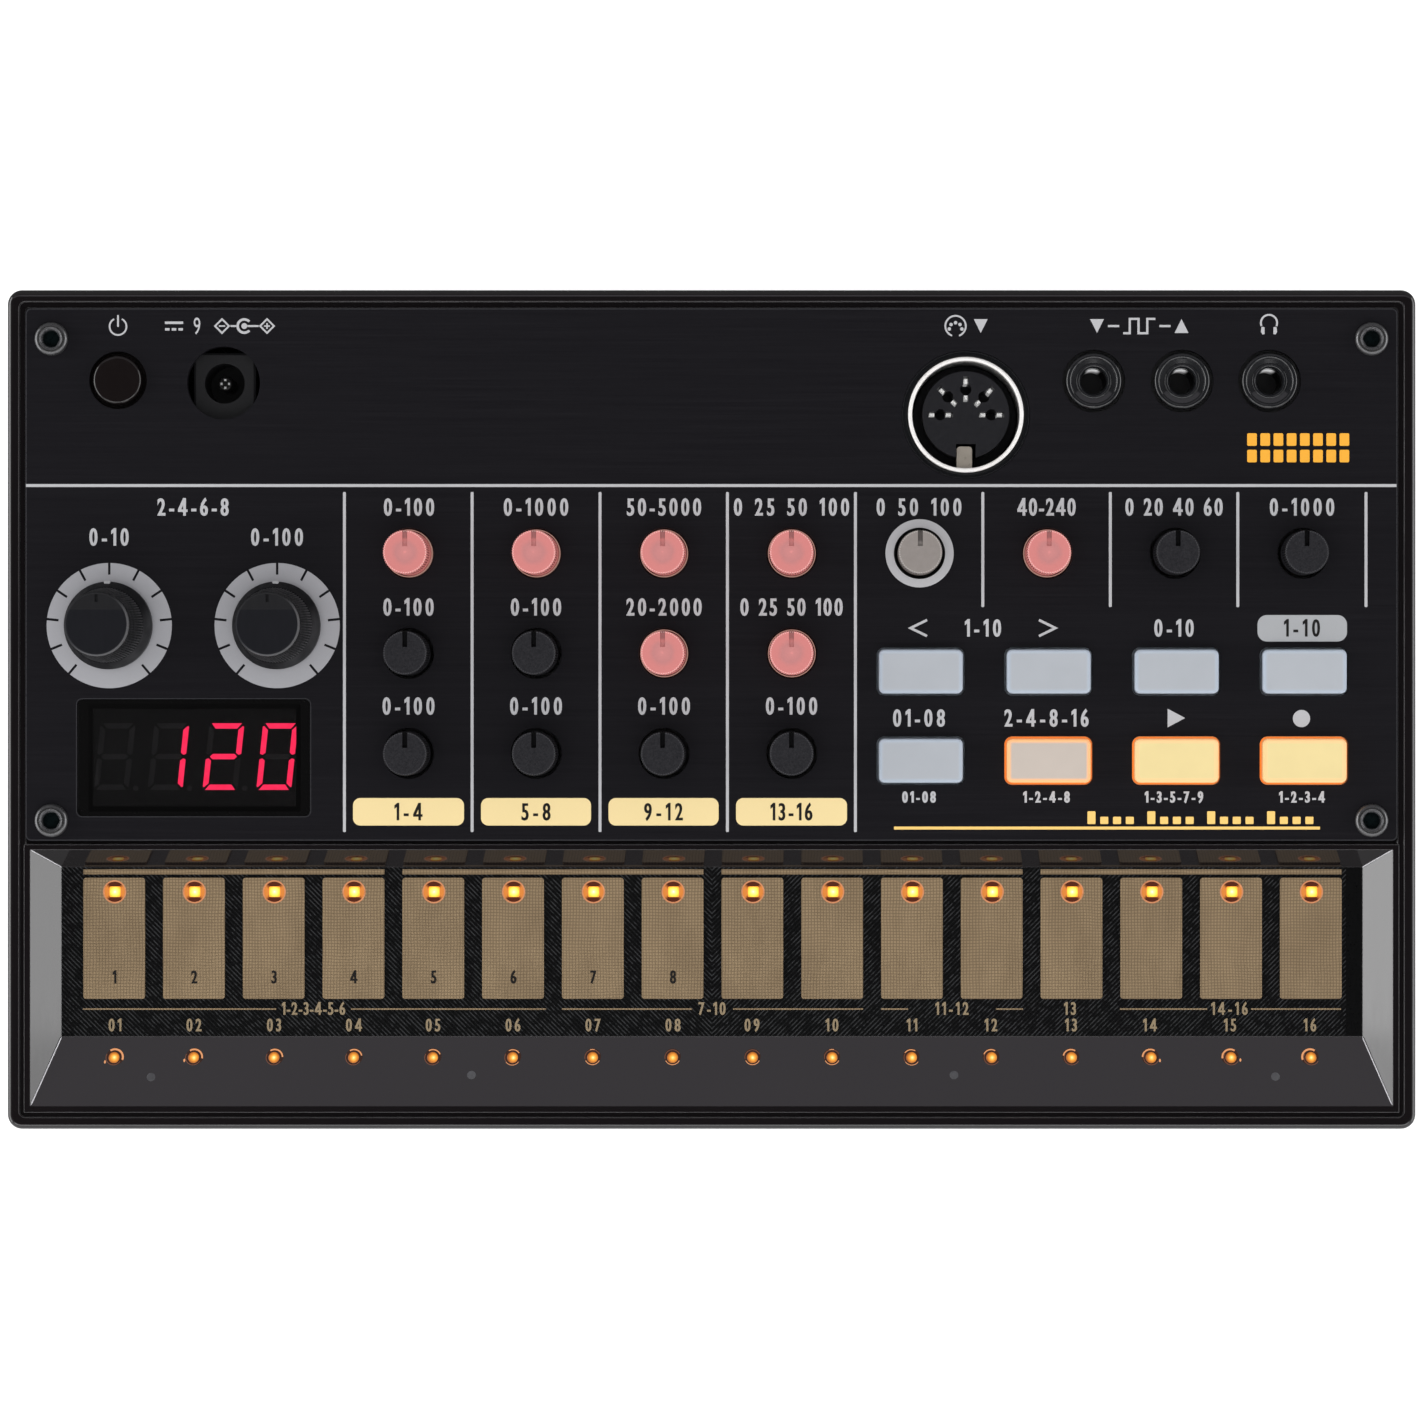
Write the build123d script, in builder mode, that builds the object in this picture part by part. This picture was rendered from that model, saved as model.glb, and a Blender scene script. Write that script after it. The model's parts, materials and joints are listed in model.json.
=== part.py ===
# Pocket drum machine: a clear-rimmed plastic housing, a brushed metal control
# panel with knobs and lit buttons, and a sunken touch strip of sixteen pads.
# Millimetres. Origin at the centre of the footprint on the ground plane,
# +X to the player's right, +Y to the back, +Z up.

from build123d import *
import math
import os

# ------------------------------------------------------------------ housing
WIDTH = 193.0            # X, outer
DEPTH = 115.0            # Y, outer
CORNER_R = 2.0           # vertical outer corners
WALL = 2.4               # housing wall
Z_FEET = 0.0
Z_FLOOR = 1.5            # underside of the lower case
FLOOR_T = 2.0
Z_SPLIT = 12.0           # top edge of the lower case
SEAM = 0.2               # shadow gap between the two shells
Z_GROOVE = 31.7          # bottom of the groove round the rim
Z_TOP = 32.5             # rim and panel surface
BAND = 1.6               # flat outer band of the rim
TONGUE_H = 1.3

# ------------------------------------------------------------------ panel
PANEL_T = 1.5
Z_PANEL = Z_TOP - PANEL_T
PANEL_X = 94.0           # half width
PANEL_Y0, PANEL_Y1 = -18.0, 55.0
LEDGE_T = 1.6
PANEL_SCREWS = [(-90.4, 50.75), (90.4, 50.75), (-90.4, -15.2), (90.4, -15.2)]

# ------------------------------------------------------------------ touch recess
Z_PAD = 29.3             # surface the pads lie on
MOUTH_X = 93.35          # half width at the rim
MOUTH_Y0, MOUTH_Y1 = -54.35, -19.2
BASE_X = 89.45           # half width at the bottom
BASE_Y0, BASE_Y1 = -44.9, -21.7
TUB_X = 94.2
TUB_Y0, TUB_Y1 = -55.2, -18.5
BOARD_T = 1.6
PAD_COUNT = 16
PAD_PITCH = 10.972
PAD_W = 8.48
PAD_Y0, PAD_Y1 = -39.79, -23.14
PAD_T = 0.3
LED_Y = -25.06
LED_R = 1.6

# ------------------------------------------------------------------ controls
KNOB_X = [-41.5, -24.0, -6.5, 11.0, 28.5, 46.0, 63.5, 81.0]
KNOB_ROWS = [21.4, 7.7, -6.0]
KNOB_R = 3.0
KNOB_HOLE_R = 3.5
KNOB_Z0, KNOB_Z1 = 28.6, 39.3
KNOB_FLUTES = 54
KNOB_SHAFT_R = 1.5

DIAL_POS = {"left": (-82.5, 11.5), "right": (-59.5, 11.5)}
DIAL_R = 6.0
DIAL_GRIP_R = 5.12
DIAL_TOP_R = 4.34
DIAL_Z0, DIAL_Z1 = 33.0, 46.0
DIAL_SHAFT_R = 3.0
DIAL_FLUTES = 84

BUTTON_X = [28.65, 46.15, 63.65, 81.15]
BUTTON_ROWS = [5.2, -7.0]
BUTTON_W, BUTTON_D, BUTTON_R = 11.48, 6.04, 0.8
BUTTON_GAP = 0.3
BUTTON_TOP = 34.1
BUTTON_TRAVEL = 0.8

# ------------------------------------------------------------------ rear row
POWER_XY, POWER_R, POWER_HOLE_R, POWER_TOP = (-81.3, 45.1), 3.3, 3.95, 33.6
DC_XY, DC_HOLE_R, DC_BORE_R, DC_PIN_R = (-66.85, 44.74), 5.0, 2.75, 0.975
MIDI_XY, MIDI_HOLE_R = (34.85, 40.4), 8.8
MIDI_SHELL_R, MIDI_SHELL_IN, MIDI_INSERT_R = 7.92, 7.36, 5.95
JACK_X, JACK_Y = [52.36, 64.46, 76.45], 45.0
JACK_HOLE_R, COLLAR_R, JACK_BORE_R = 4.3, 3.83, 1.8

# ------------------------------------------------------------------ display
LENS_X0, LENS_X1, LENS_Y0, LENS_Y1 = -86.9, -55.0, -14.6, 1.4

# ------------------------------------------------------------------ electronics
Z_BOARD = 19.6
BOARD_TOP = Z_BOARD + BOARD_T
STANDOFFS = [(-82.0, 32.0), (82.0, 32.0), (72.25, -9.0), (20.5, -9.0)]
TOUCH_SCREWS = [(-92.0, -25.0), (92.0, -25.0), (-92.0, -42.0), (92.0, -42.0)]

# ------------------------------------------------------------------ underside
BAY_X0, BAY_X1, BAY_Y = -90.0, 17.0, 24.0
BAY_TOP = 18.4
BAY_WALL = 1.5
CELL_R, CELL_L = 7.25, 50.4
CELL_Y = [-15.6, 0.0, 15.6]
COVER_T = 1.8
HINGE_Y, HINGE_Z, HINGE_R = 22.9, 2.4, 0.5
CASE_BOSSES = [(-90.4, 50.75), (90.4, 50.75), (-90.4, -51.0), (90.4, -51.0), (0.0, 51.3), (0.0, -51.3)]
FEET = [(-78.0, 43.0), (78.0, 43.0), (-78.0, -43.0), (78.0, -43.0)]
FOOT_R = 5.5
SPEAKER_XY, SPEAKER_R = (48.0, 3.0), 17.0

os.makedirs("parts", exist_ok=True)


def save(builder, name):
    builder.part.label = name
    export_step(builder.part, f"parts/{name}.step")


def centre(a, b):
    return (a + b) / 2


# ================================================================== top case
with BuildPart() as top_case:
    # side walls, from the seam to the bottom of the rim groove
    with BuildSketch(Plane.XY.offset(Z_SPLIT + SEAM)):
        RectangleRounded(WIDTH, DEPTH, CORNER_R)
        RectangleRounded(WIDTH - 2 * WALL, DEPTH - 2 * WALL, 0.5, mode=Mode.SUBTRACT)
    extrude(amount=Z_GROOVE - Z_SPLIT - SEAM)
    # flat band of the rim outside the groove
    with BuildSketch(Plane.XY.offset(Z_GROOVE)):
        RectangleRounded(WIDTH, DEPTH, CORNER_R)
        RectangleRounded(WIDTH - 2 * BAND, DEPTH - 2 * BAND, 0.9, mode=Mode.SUBTRACT)
    extrude(amount=Z_TOP - Z_GROOVE)
    fillet(top_case.faces().sort_by(Axis.Z)[-1].outer_wire().edges(), 0.75)
    # ledge that carries the metal panel
    with BuildSketch(Plane.XY.offset(Z_PANEL - LEDGE_T)):
        with Locations((0, centre(-18.6, 55.3))):
            Rectangle(188.6, 73.9)
        with Locations((0, centre(-15.0, 51.0))):
            Rectangle(180.0, 66.0, mode=Mode.SUBTRACT)
    extrude(amount=LEDGE_T)
    # solid surround of the touch recess
    with BuildSketch(Plane.XY.offset(Z_PAD)):
        with Locations((0, centre(TUB_Y0, TUB_Y1))):
            Rectangle(2 * TUB_X, TUB_Y1 - TUB_Y0)
    extrude(amount=Z_TOP - Z_PAD)
    with BuildSketch(Plane.XY.offset(Z_PAD - 1.8)):
        with Locations((0, centre(TUB_Y0, -46.8))):
            Rectangle(2 * TUB_X, -46.8 - TUB_Y0)
    extrude(amount=1.8)
    # the recess: four flat walls with straight mitres
    with BuildSketch(Plane.XY.offset(Z_PAD)):
        with Locations((0, centre(BASE_Y0, BASE_Y1))):
            Rectangle(2 * BASE_X, BASE_Y1 - BASE_Y0)
    with BuildSketch(Plane.XY.offset(Z_TOP)):
        with Locations((0, centre(MOUTH_Y0, MOUTH_Y1))):
            Rectangle(2 * MOUTH_X, MOUTH_Y1 - MOUTH_Y0)
    loft(ruled=True, mode=Mode.SUBTRACT)
    # screw posts: rear corners run the full height, front ones stop under the tub
    for (x, y), top in zip(CASE_BOSSES, [Z_PANEL, Z_PANEL, Z_PAD - 1.3, Z_PAD - 1.3, Z_PANEL - 0.5, Z_PAD - 1.3]):
        with BuildSketch(Plane.XY.offset(Z_SPLIT + SEAM)):
            with Locations((x, y)):
                Circle(4.0)
        extrude(amount=top - Z_SPLIT - SEAM)
    with BuildSketch(Plane.XY.offset(21.0)):
        with Locations(*PANEL_SCREWS[2:]):
            Circle(4.0)
    extrude(amount=Z_PANEL - 21.0)
    # rebate for the lower case's tongue
    with BuildSketch(Plane.XY.offset(Z_SPLIT + SEAM)):
        RectangleRounded(WIDTH - 2.4, DEPTH - 2.4, 0.8)
        RectangleRounded(WIDTH - 2 * WALL - 0.2, DEPTH - 2 * WALL - 0.2, 0.4, mode=Mode.SUBTRACT)
    extrude(amount=TONGUE_H, mode=Mode.SUBTRACT)
    # pilot holes for the case screws (from below) and the panel screws (from above)
    with BuildSketch(Plane.XY.offset(Z_SPLIT - 0.5)):
        with Locations(*CASE_BOSSES):
            Circle(1.25)
    extrude(amount=8.5, mode=Mode.SUBTRACT)
    with BuildSketch(Plane.XY.offset(Z_PANEL)):
        with Locations(*PANEL_SCREWS):
            Circle(1.25)
    extrude(amount=-8.0, mode=Mode.SUBTRACT)
    # pilot holes for the touch board's screws
    with BuildSketch(Plane.XY.offset(Z_PAD)):
        with Locations(*TOUCH_SCREWS):
            Circle(0.9)
    extrude(amount=1.1, mode=Mode.SUBTRACT)
save(top_case, "top_case")

# ================================================================== bottom case
with BuildPart() as bottom_case:
    with BuildSketch(Plane.XY.offset(Z_FLOOR)):
        RectangleRounded(WIDTH, DEPTH, CORNER_R)
    extrude(amount=Z_SPLIT - Z_FLOOR)
    with BuildSketch(Plane.XY.offset(Z_FLOOR + FLOOR_T)):
        RectangleRounded(WIDTH - 2 * WALL, DEPTH - 2 * WALL, 0.5)
    extrude(amount=Z_SPLIT, mode=Mode.SUBTRACT)
    chamfer(bottom_case.faces().sort_by(Axis.Z)[0].outer_wire().edges(), 1.2)
    # tongue that locates the upper case
    with BuildSketch(Plane.XY.offset(Z_SPLIT)):
        RectangleRounded(WIDTH - 2.7, DEPTH - 2.7, 0.7)
        RectangleRounded(WIDTH - 2 * WALL, DEPTH - 2 * WALL, 0.5, mode=Mode.SUBTRACT)
    extrude(amount=TONGUE_H)
    # battery bay walls and roof
    with BuildSketch(Plane.XY.offset(Z_FLOOR)):
        with Locations((centre(BAY_X0, BAY_X1), 0)):
            Rectangle(BAY_X1 - BAY_X0 + 2 * BAY_WALL, 2 * (BAY_Y + BAY_WALL))
    extrude(amount=BAY_TOP + 1.0 - Z_FLOOR)
    with BuildSketch(Plane.XY.offset(Z_FLOOR - 1)):
        with Locations((centre(BAY_X0, BAY_X1), 0)):
            Rectangle(BAY_X1 - BAY_X0, 2 * BAY_Y)
    extrude(amount=BAY_TOP - Z_FLOOR + 1, mode=Mode.SUBTRACT)
    # screw posts with counterbores from below
    with BuildSketch(Plane.XY.offset(Z_FLOOR + FLOOR_T - 0.5)):
        with Locations(*CASE_BOSSES):
            Circle(4.0)
    extrude(amount=Z_SPLIT - Z_FLOOR - FLOOR_T + 0.5)
    with BuildSketch(Plane.XY.offset(Z_FLOOR - 1)):
        with Locations(*CASE_BOSSES):
            Circle(2.6)
    extrude(amount=4.5, mode=Mode.SUBTRACT)
    with BuildSketch(Plane.XY.offset(Z_FLOOR)):
        with Locations(*CASE_BOSSES):
            Circle(1.4)
    extrude(amount=14.0, mode=Mode.SUBTRACT)
    # standoffs under the main board
    with BuildSketch(Plane.XY.offset(Z_FLOOR + FLOOR_T - 0.5)):
        with Locations(*STANDOFFS):
            Circle(3.0)
    extrude(amount=Z_BOARD - Z_FLOOR - FLOOR_T + 0.5)
    with BuildSketch(Plane.XY.offset(Z_BOARD)):
        with Locations(*STANDOFFS):
            Circle(0.9)
    extrude(amount=-6.0, mode=Mode.SUBTRACT)
    # pockets for the rubber feet
    with BuildSketch(Plane.XY.offset(Z_FLOOR)):
        with Locations(*FEET):
            Circle(FOOT_R + 0.1)
    extrude(amount=0.5, mode=Mode.SUBTRACT)
    # sound slots under the speaker
    with BuildSketch(Plane.XY.offset(Z_FLOOR - 1)):
        for i in range(-3, 4):
            half = math.sqrt(15.0 ** 2 - (i * 4.0) ** 2)
            with Locations((SPEAKER_XY[0], SPEAKER_XY[1] + i * 4.0)):
                SlotOverall(2 * half, 1.8)
    extrude(amount=FLOOR_T + 2, mode=Mode.SUBTRACT)
    # sockets for the battery cover's hinge pins
    with BuildSketch(Plane.YZ.offset(BAY_X0 - 2.3)):
        with Locations((HINGE_Y, HINGE_Z)):
            Circle(HINGE_R + 0.06)
    extrude(amount=BAY_X1 - BAY_X0 + 4.6, mode=Mode.SUBTRACT)
save(bottom_case, "bottom_case")

# ================================================================== battery cover
with BuildPart() as battery_cover:
    # plate with a full-round rear edge about the hinge line
    with BuildSketch(Plane.YZ.offset(BAY_X0 + 0.3)):
        with BuildLine():
            l1 = Line((HINGE_Y, HINGE_Z + COVER_T / 2), (-BAY_Y + 0.3, HINGE_Z + COVER_T / 2))
            l2 = Line(l1 @ 1, (-BAY_Y + 0.3, HINGE_Z - COVER_T / 2))
            l3 = Line(l2 @ 1, (HINGE_Y, HINGE_Z - COVER_T / 2))
            RadiusArc(l3 @ 1, l1 @ 0, -COVER_T / 2)
        make_face()
    extrude(amount=BAY_X1 - BAY_X0 - 0.6)
    # hinge pins
    with BuildSketch(Plane.YZ.offset(BAY_X0 - 1.9)):
        with Locations((HINGE_Y, HINGE_Z)):
            Circle(HINGE_R)
    extrude(amount=BAY_X1 - BAY_X0 + 3.8)
    # finger scoops at the front edge
    with BuildSketch(Plane.XY.offset(HINGE_Z - COVER_T / 2)):
        for i in range(5):
            with Locations((centre(BAY_X0, BAY_X1), -21.0 + i * 2.0)):
                SlotOverall(16.0, 0.9)
    extrude(amount=0.7, mode=Mode.SUBTRACT)
save(battery_cover, "battery_cover")

# ================================================================== feet and screws
with BuildPart() as rubber_feet:
    with BuildSketch(Plane.XY.offset(Z_FEET)):
        with Locations(*FEET):
            Circle(FOOT_R)
    extrude(amount=Z_FLOOR + 0.5 - Z_FEET)
    chamfer(rubber_feet.faces().group_by(Axis.Z)[0].edges(), 0.4)
save(rubber_feet, "rubber_feet")

with BuildPart() as case_screws:
    with BuildSketch(Plane.XY.offset(5.0)):
        with Locations(*CASE_BOSSES):
            Circle(1.2)
    extrude(amount=13.0)
    with BuildSketch(Plane.XY.offset(3.4)):
        with Locations(*CASE_BOSSES):
            Circle(2.3)
    extrude(amount=1.6)
    with BuildSketch(Plane.XY.offset(3.4)):
        with Locations(*CASE_BOSSES):
            Rectangle(2.6, 0.6)
            Rectangle(0.6, 2.6)
    extrude(amount=1.0, mode=Mode.SUBTRACT)
save(case_screws, "case_screws")

with BuildPart() as panel_screws:
    with BuildSketch(Plane.XY.offset(Z_PANEL - 7.5)):
        with Locations(*PANEL_SCREWS):
            Circle(1.2)
    extrude(amount=7.6 + PANEL_T)
    with BuildSketch(Plane.XY.offset(Z_TOP)):
        with Locations(*PANEL_SCREWS):
            Circle(2.28)
    extrude(amount=1.1)
    # button head: rounded shoulder, shallow lead-in and a hexagon socket
    fillet(panel_screws.faces().group_by(Axis.Z)[-1].edges(), 0.6)
    with BuildSketch(Plane.XY.offset(Z_TOP + 1.1)):
        with Locations(*PANEL_SCREWS):
            Circle(1.55)
    extrude(amount=-0.25, taper=35, mode=Mode.SUBTRACT)
    with BuildSketch(Plane.XY.offset(Z_TOP + 1.1)):
        with Locations(*PANEL_SCREWS):
            RegularPolygon(1.3, 6)
    extrude(amount=-0.9, mode=Mode.SUBTRACT)
save(panel_screws, "panel_screws")

with BuildPart() as board_screws:
    with BuildSketch(Plane.XY.offset(BOARD_TOP)):
        with Locations(*STANDOFFS):
            Circle(1.9)
    extrude(amount=1.1)
    with BuildSketch(Plane.XY.offset(BOARD_TOP)):
        with Locations(*STANDOFFS):
            Circle(0.85)
    extrude(amount=-6.5)
    with BuildSketch(Plane.XY.offset(Z_PAD - BOARD_T)):
        with Locations(*[(math.copysign(91.9, x), y) for x, y in TOUCH_SCREWS]):
            Circle(1.7)
    extrude(amount=-1.1)
    with BuildSketch(Plane.XY.offset(Z_PAD - BOARD_T)):
        with Locations(*TOUCH_SCREWS):
            Circle(0.85)
    extrude(amount=BOARD_T + 1.0)
save(board_screws, "board_screws")

# ================================================================== metal panel
with BuildPart() as front_panel:
    with BuildSketch(Plane.XY.offset(Z_PANEL)):
        with Locations((0, centre(PANEL_Y0, PANEL_Y1))):
            RectangleRounded(2 * PANEL_X, PANEL_Y1 - PANEL_Y0, 0.8)
        with Locations(*PANEL_SCREWS):
            Circle(1.4, mode=Mode.SUBTRACT)
        with Locations(POWER_XY):
            Circle(POWER_HOLE_R, mode=Mode.SUBTRACT)
        with Locations(DC_XY):
            Circle(DC_HOLE_R, mode=Mode.SUBTRACT)
        with Locations(MIDI_XY):
            Circle(MIDI_HOLE_R, mode=Mode.SUBTRACT)
        with Locations(*[(x, JACK_Y) for x in JACK_X]):
            Circle(JACK_HOLE_R, mode=Mode.SUBTRACT)
        with Locations(*[(x, KNOB_ROWS[0]) for x in KNOB_X]):
            Circle(KNOB_HOLE_R, mode=Mode.SUBTRACT)
        with Locations(*[(x, y) for y in KNOB_ROWS[1:] for x in KNOB_X[:4]]):
            Circle(KNOB_HOLE_R, mode=Mode.SUBTRACT)
        with Locations(*DIAL_POS.values()):
            Circle(3.6, mode=Mode.SUBTRACT)
        with Locations(*[(x, y) for y in BUTTON_ROWS for x in BUTTON_X]):
            RectangleRounded(BUTTON_W + 2 * BUTTON_GAP, BUTTON_D + 2 * BUTTON_GAP, BUTTON_R + BUTTON_GAP, mode=Mode.SUBTRACT)
        with Locations((centre(LENS_X0, LENS_X1), centre(LENS_Y0, LENS_Y1))):
            RectangleRounded(LENS_X1 - LENS_X0, LENS_Y1 - LENS_Y0, 0.7, mode=Mode.SUBTRACT)
    extrude(amount=PANEL_T)
save(front_panel, "front_panel")

# ================================================================== display
with BuildPart() as display_window:
    with BuildSketch(Plane.XY.offset(Z_PANEL)):
        with Locations((centre(LENS_X0, LENS_X1), centre(LENS_Y0, LENS_Y1))):
            RectangleRounded(LENS_X1 - LENS_X0 - 0.1, LENS_Y1 - LENS_Y0 - 0.1, 0.65)
    extrude(amount=PANEL_T - 0.2)
save(display_window, "display_window")

with BuildPart() as display_module:
    # block with four seven-segment faces, 0.3 below its frame
    with BuildSketch(Plane.XY.offset(BOARD_TOP)):
        with Locations((centre(-85.5, -56.4), centre(-14.0, 0.8))):
            Rectangle(29.1, 14.8)
    extrude(amount=Z_PANEL - BOARD_TOP)
    with BuildSketch(Plane.XY.offset(Z_PANEL)):
        with Locations((centre(-85.5, -56.4), centre(-14.0, 0.8))):
            Rectangle(27.9, 13.4)
    extrude(amount=-0.3, mode=Mode.SUBTRACT)
save(display_module, "display_module")

# ================================================================== boards
with BuildPart() as main_board:
    with BuildSketch(Plane.XY.offset(Z_BOARD)):
        with Locations((0, centre(-15.0, 53.5))):
            Rectangle(172.0, 68.5)
        with Locations((0, 51.3)):
            Rectangle(9.4, 9.4, mode=Mode.SUBTRACT)
        with Locations(*STANDOFFS):
            Circle(1.1, mode=Mode.SUBTRACT)
    extrude(amount=BOARD_T)
save(main_board, "main_board")

with BuildPart() as touch_board:
    with BuildSketch(Plane.XY.offset(Z_PAD - BOARD_T)):
        with Locations((0, centre(-46.6, -19.6))):
            Rectangle(187.2, 27.0)
        with Locations(*TOUCH_SCREWS):
            Circle(1.0, mode=Mode.SUBTRACT)
    extrude(amount=BOARD_T)
save(touch_board, "touch_board")

PAD_X = [(i - (PAD_COUNT - 1) / 2) * PAD_PITCH + 0.07 for i in range(PAD_COUNT)]
LED_X = [x + 0.08 for x in PAD_X]

with BuildPart() as touch_pads:
    with BuildSketch(Plane.XY.offset(Z_PAD)):
        with Locations(*[(x, centre(PAD_Y0, PAD_Y1)) for x in PAD_X]):
            RectangleRounded(PAD_W, PAD_Y1 - PAD_Y0, 0.4)
        with Locations(*[(x, LED_Y) for x in LED_X]):
            Circle(LED_R, mode=Mode.SUBTRACT)
    extrude(amount=PAD_T)
save(touch_pads, "touch_pads")

with BuildPart() as step_led_rings:
    with BuildSketch(Plane.XY.offset(Z_PAD)):
        with Locations(*[(x, LED_Y) for x in LED_X]):
            Circle(LED_R)
            Circle(LED_R - 0.2, mode=Mode.SUBTRACT)
    extrude(amount=PAD_T)
save(step_led_rings, "step_led_rings")

with BuildPart() as step_leds:
    with BuildSketch(Plane.XY.offset(Z_PAD)):
        with Locations(*[(x, LED_Y) for x in LED_X]):
            Circle(LED_R - 0.2)
    extrude(amount=0.2)
save(step_leds, "step_leds")

with BuildPart() as ribbon_cable:
    # flat flex from the main board up to the touch board
    with BuildSketch(Plane.YZ.offset(40.0)):
        with BuildLine():
            Polyline(
                (-11.4, BOARD_TOP), (-11.4, BOARD_TOP + 0.3), (-15.0, BOARD_TOP + 0.3),
                (-22.0, Z_PAD - BOARD_T), (-26.0, Z_PAD - BOARD_T), (-26.0, Z_PAD - BOARD_T - 0.3),
                (-22.0, Z_PAD - BOARD_T - 0.3), (-15.0, BOARD_TOP), close=True,
            )
        make_face()
    extrude(amount=18.0)
save(ribbon_cable, "ribbon_cable")

# ================================================================== potentiometers and switches
SMALL_POS = [(x, KNOB_ROWS[0]) for x in KNOB_X] + [(x, y) for y in KNOB_ROWS[1:] for x in KNOB_X[:4]]

with BuildPart() as small_pots:
    with BuildSketch(Plane.XY.offset(BOARD_TOP)):
        with Locations(*SMALL_POS):
            Rectangle(9.4, 9.4)
    extrude(amount=7.0)
    with BuildSketch(Plane.XY.offset(BOARD_TOP + 7.0)):
        with Locations(*SMALL_POS):
            Circle(KNOB_SHAFT_R + 0.06)
    extrude(amount=-5.0, mode=Mode.SUBTRACT)
save(small_pots, "small_pots")

with BuildPart() as dial_pots:
    with BuildSketch(Plane.XY.offset(BOARD_TOP)):
        with Locations(*DIAL_POS.values()):
            Rectangle(14.0, 12.0)
    extrude(amount=7.8)
    with BuildSketch(Plane.XY.offset(BOARD_TOP + 7.8)):
        with Locations(*DIAL_POS.values()):
            Circle(3.5)
    extrude(amount=32.4 - BOARD_TOP - 7.8)
    with BuildSketch(Plane.XY.offset(32.4)):
        with Locations(*DIAL_POS.values()):
            Circle(2.56)
    extrude(amount=-9.4, mode=Mode.SUBTRACT)
save(dial_pots, "dial_pots")

BUTTON_POS = [(x, y) for y in BUTTON_ROWS for x in BUTTON_X]

with BuildPart() as button_switches:
    with BuildSketch(Plane.XY.offset(BOARD_TOP)):
        with Locations(*BUTTON_POS):
            Rectangle(6.0, 6.0)
    extrude(amount=3.0)
    with BuildSketch(Plane.XY.offset(BOARD_TOP + 3.0)):
        with Locations(*BUTTON_POS):
            Circle(1.5)
    extrude(amount=0.5)
save(button_switches, "button_switches")

with BuildPart() as power_switch:
    with BuildSketch(Plane.XY.offset(BOARD_TOP)):
        with Locations(POWER_XY):
            Rectangle(7.0, 7.0)
    extrude(amount=4.5)
save(power_switch, "power_switch")

with BuildPart() as backlight_leds:
    # chip lamps on the board beside each button switch
    with BuildSketch(Plane.XY.offset(BOARD_TOP)):
        with Locations(*[(x + s * 4.4, y) for x, y in BUTTON_POS for s in (-1, 1)]):
            Rectangle(1.6, 3.2)
    extrude(amount=1.0)
save(backlight_leds, "backlight_leds")

# ================================================================== sockets
with BuildPart() as dc_jack:
    with BuildSketch(Plane.XY.offset(BOARD_TOP)):
        with Locations((DC_XY[0], DC_XY[1] - 1.0)):
            Rectangle(8.5, 10.4)
    extrude(amount=30.9 - BOARD_TOP)
    chamfer(dc_jack.faces().sort_by(Axis.Z)[-1].edges(), 0.3)
    with BuildSketch(Plane.XY.offset(30.9)):
        with Locations(DC_XY):
            Circle(DC_BORE_R)
    extrude(amount=-8.0, mode=Mode.SUBTRACT)
save(dc_jack, "dc_jack")

with BuildPart() as dc_jack_pin:
    with BuildSketch(Plane.XY.offset(22.9)):
        with Locations(DC_XY):
            Circle(DC_PIN_R)
    extrude(amount=7.4)
    fillet(dc_jack_pin.faces().sort_by(Axis.Z)[-1].edges(), 0.4)
save(dc_jack_pin, "dc_jack_pin")

with BuildPart() as midi_shell:
    with BuildSketch(Plane.XY.offset(BOARD_TOP)):
        with Locations(MIDI_XY):
            Circle(MIDI_SHELL_R)
            Circle(MIDI_SHELL_IN, mode=Mode.SUBTRACT)
    extrude(amount=32.8 - BOARD_TOP)
    fillet(midi_shell.faces().sort_by(Axis.Z)[-1].edges(), 0.25)
    # locating key inside the front of the shell, with rounded corners
    with BuildSketch(Plane.XY.offset(BOARD_TOP)):
        with Locations((MIDI_XY[0] - 0.2, MIDI_XY[1] - 6.05)):
            RectangleRounded(2.1, 3.4, 0.45)
    extrude(amount=32.0 - BOARD_TOP)
save(midi_shell, "midi_shell")

DIN_ANGLES = [0, 45, 90, 135, 180]
DIN_POS = [(MIDI_XY[0] + 3.5 * math.cos(math.radians(a)), MIDI_XY[1] + 3.5 * math.sin(math.radians(a))) for a in DIN_ANGLES]

with BuildPart() as midi_insert:
    with BuildSketch(Plane.XY.offset(BOARD_TOP)):
        with Locations(MIDI_XY):
            Circle(MIDI_SHELL_IN - 0.3)
            with Locations((0, -5.75)):
                Rectangle(2.7, 3.5, mode=Mode.SUBTRACT)
    extrude(amount=3.0)
    # face with five round pin holes, each crossed by a slot for its two springs
    with BuildSketch(Plane.XY.offset(BOARD_TOP + 3.0)):
        with Locations(MIDI_XY):
            Circle(MIDI_INSERT_R)
            with Locations((0, -5.75)):
                Rectangle(2.7, 3.5, mode=Mode.SUBTRACT)
            with PolarLocations(3.5, 5, start_angle=0, angular_range=180, endpoint=True):
                Rectangle(3.5, 0.72, mode=Mode.SUBTRACT)
        with Locations(*DIN_POS):
            Circle(0.78, mode=Mode.SUBTRACT)
    extrude(amount=32.2 - BOARD_TOP - 3.0)
save(midi_insert, "midi_insert")

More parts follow.
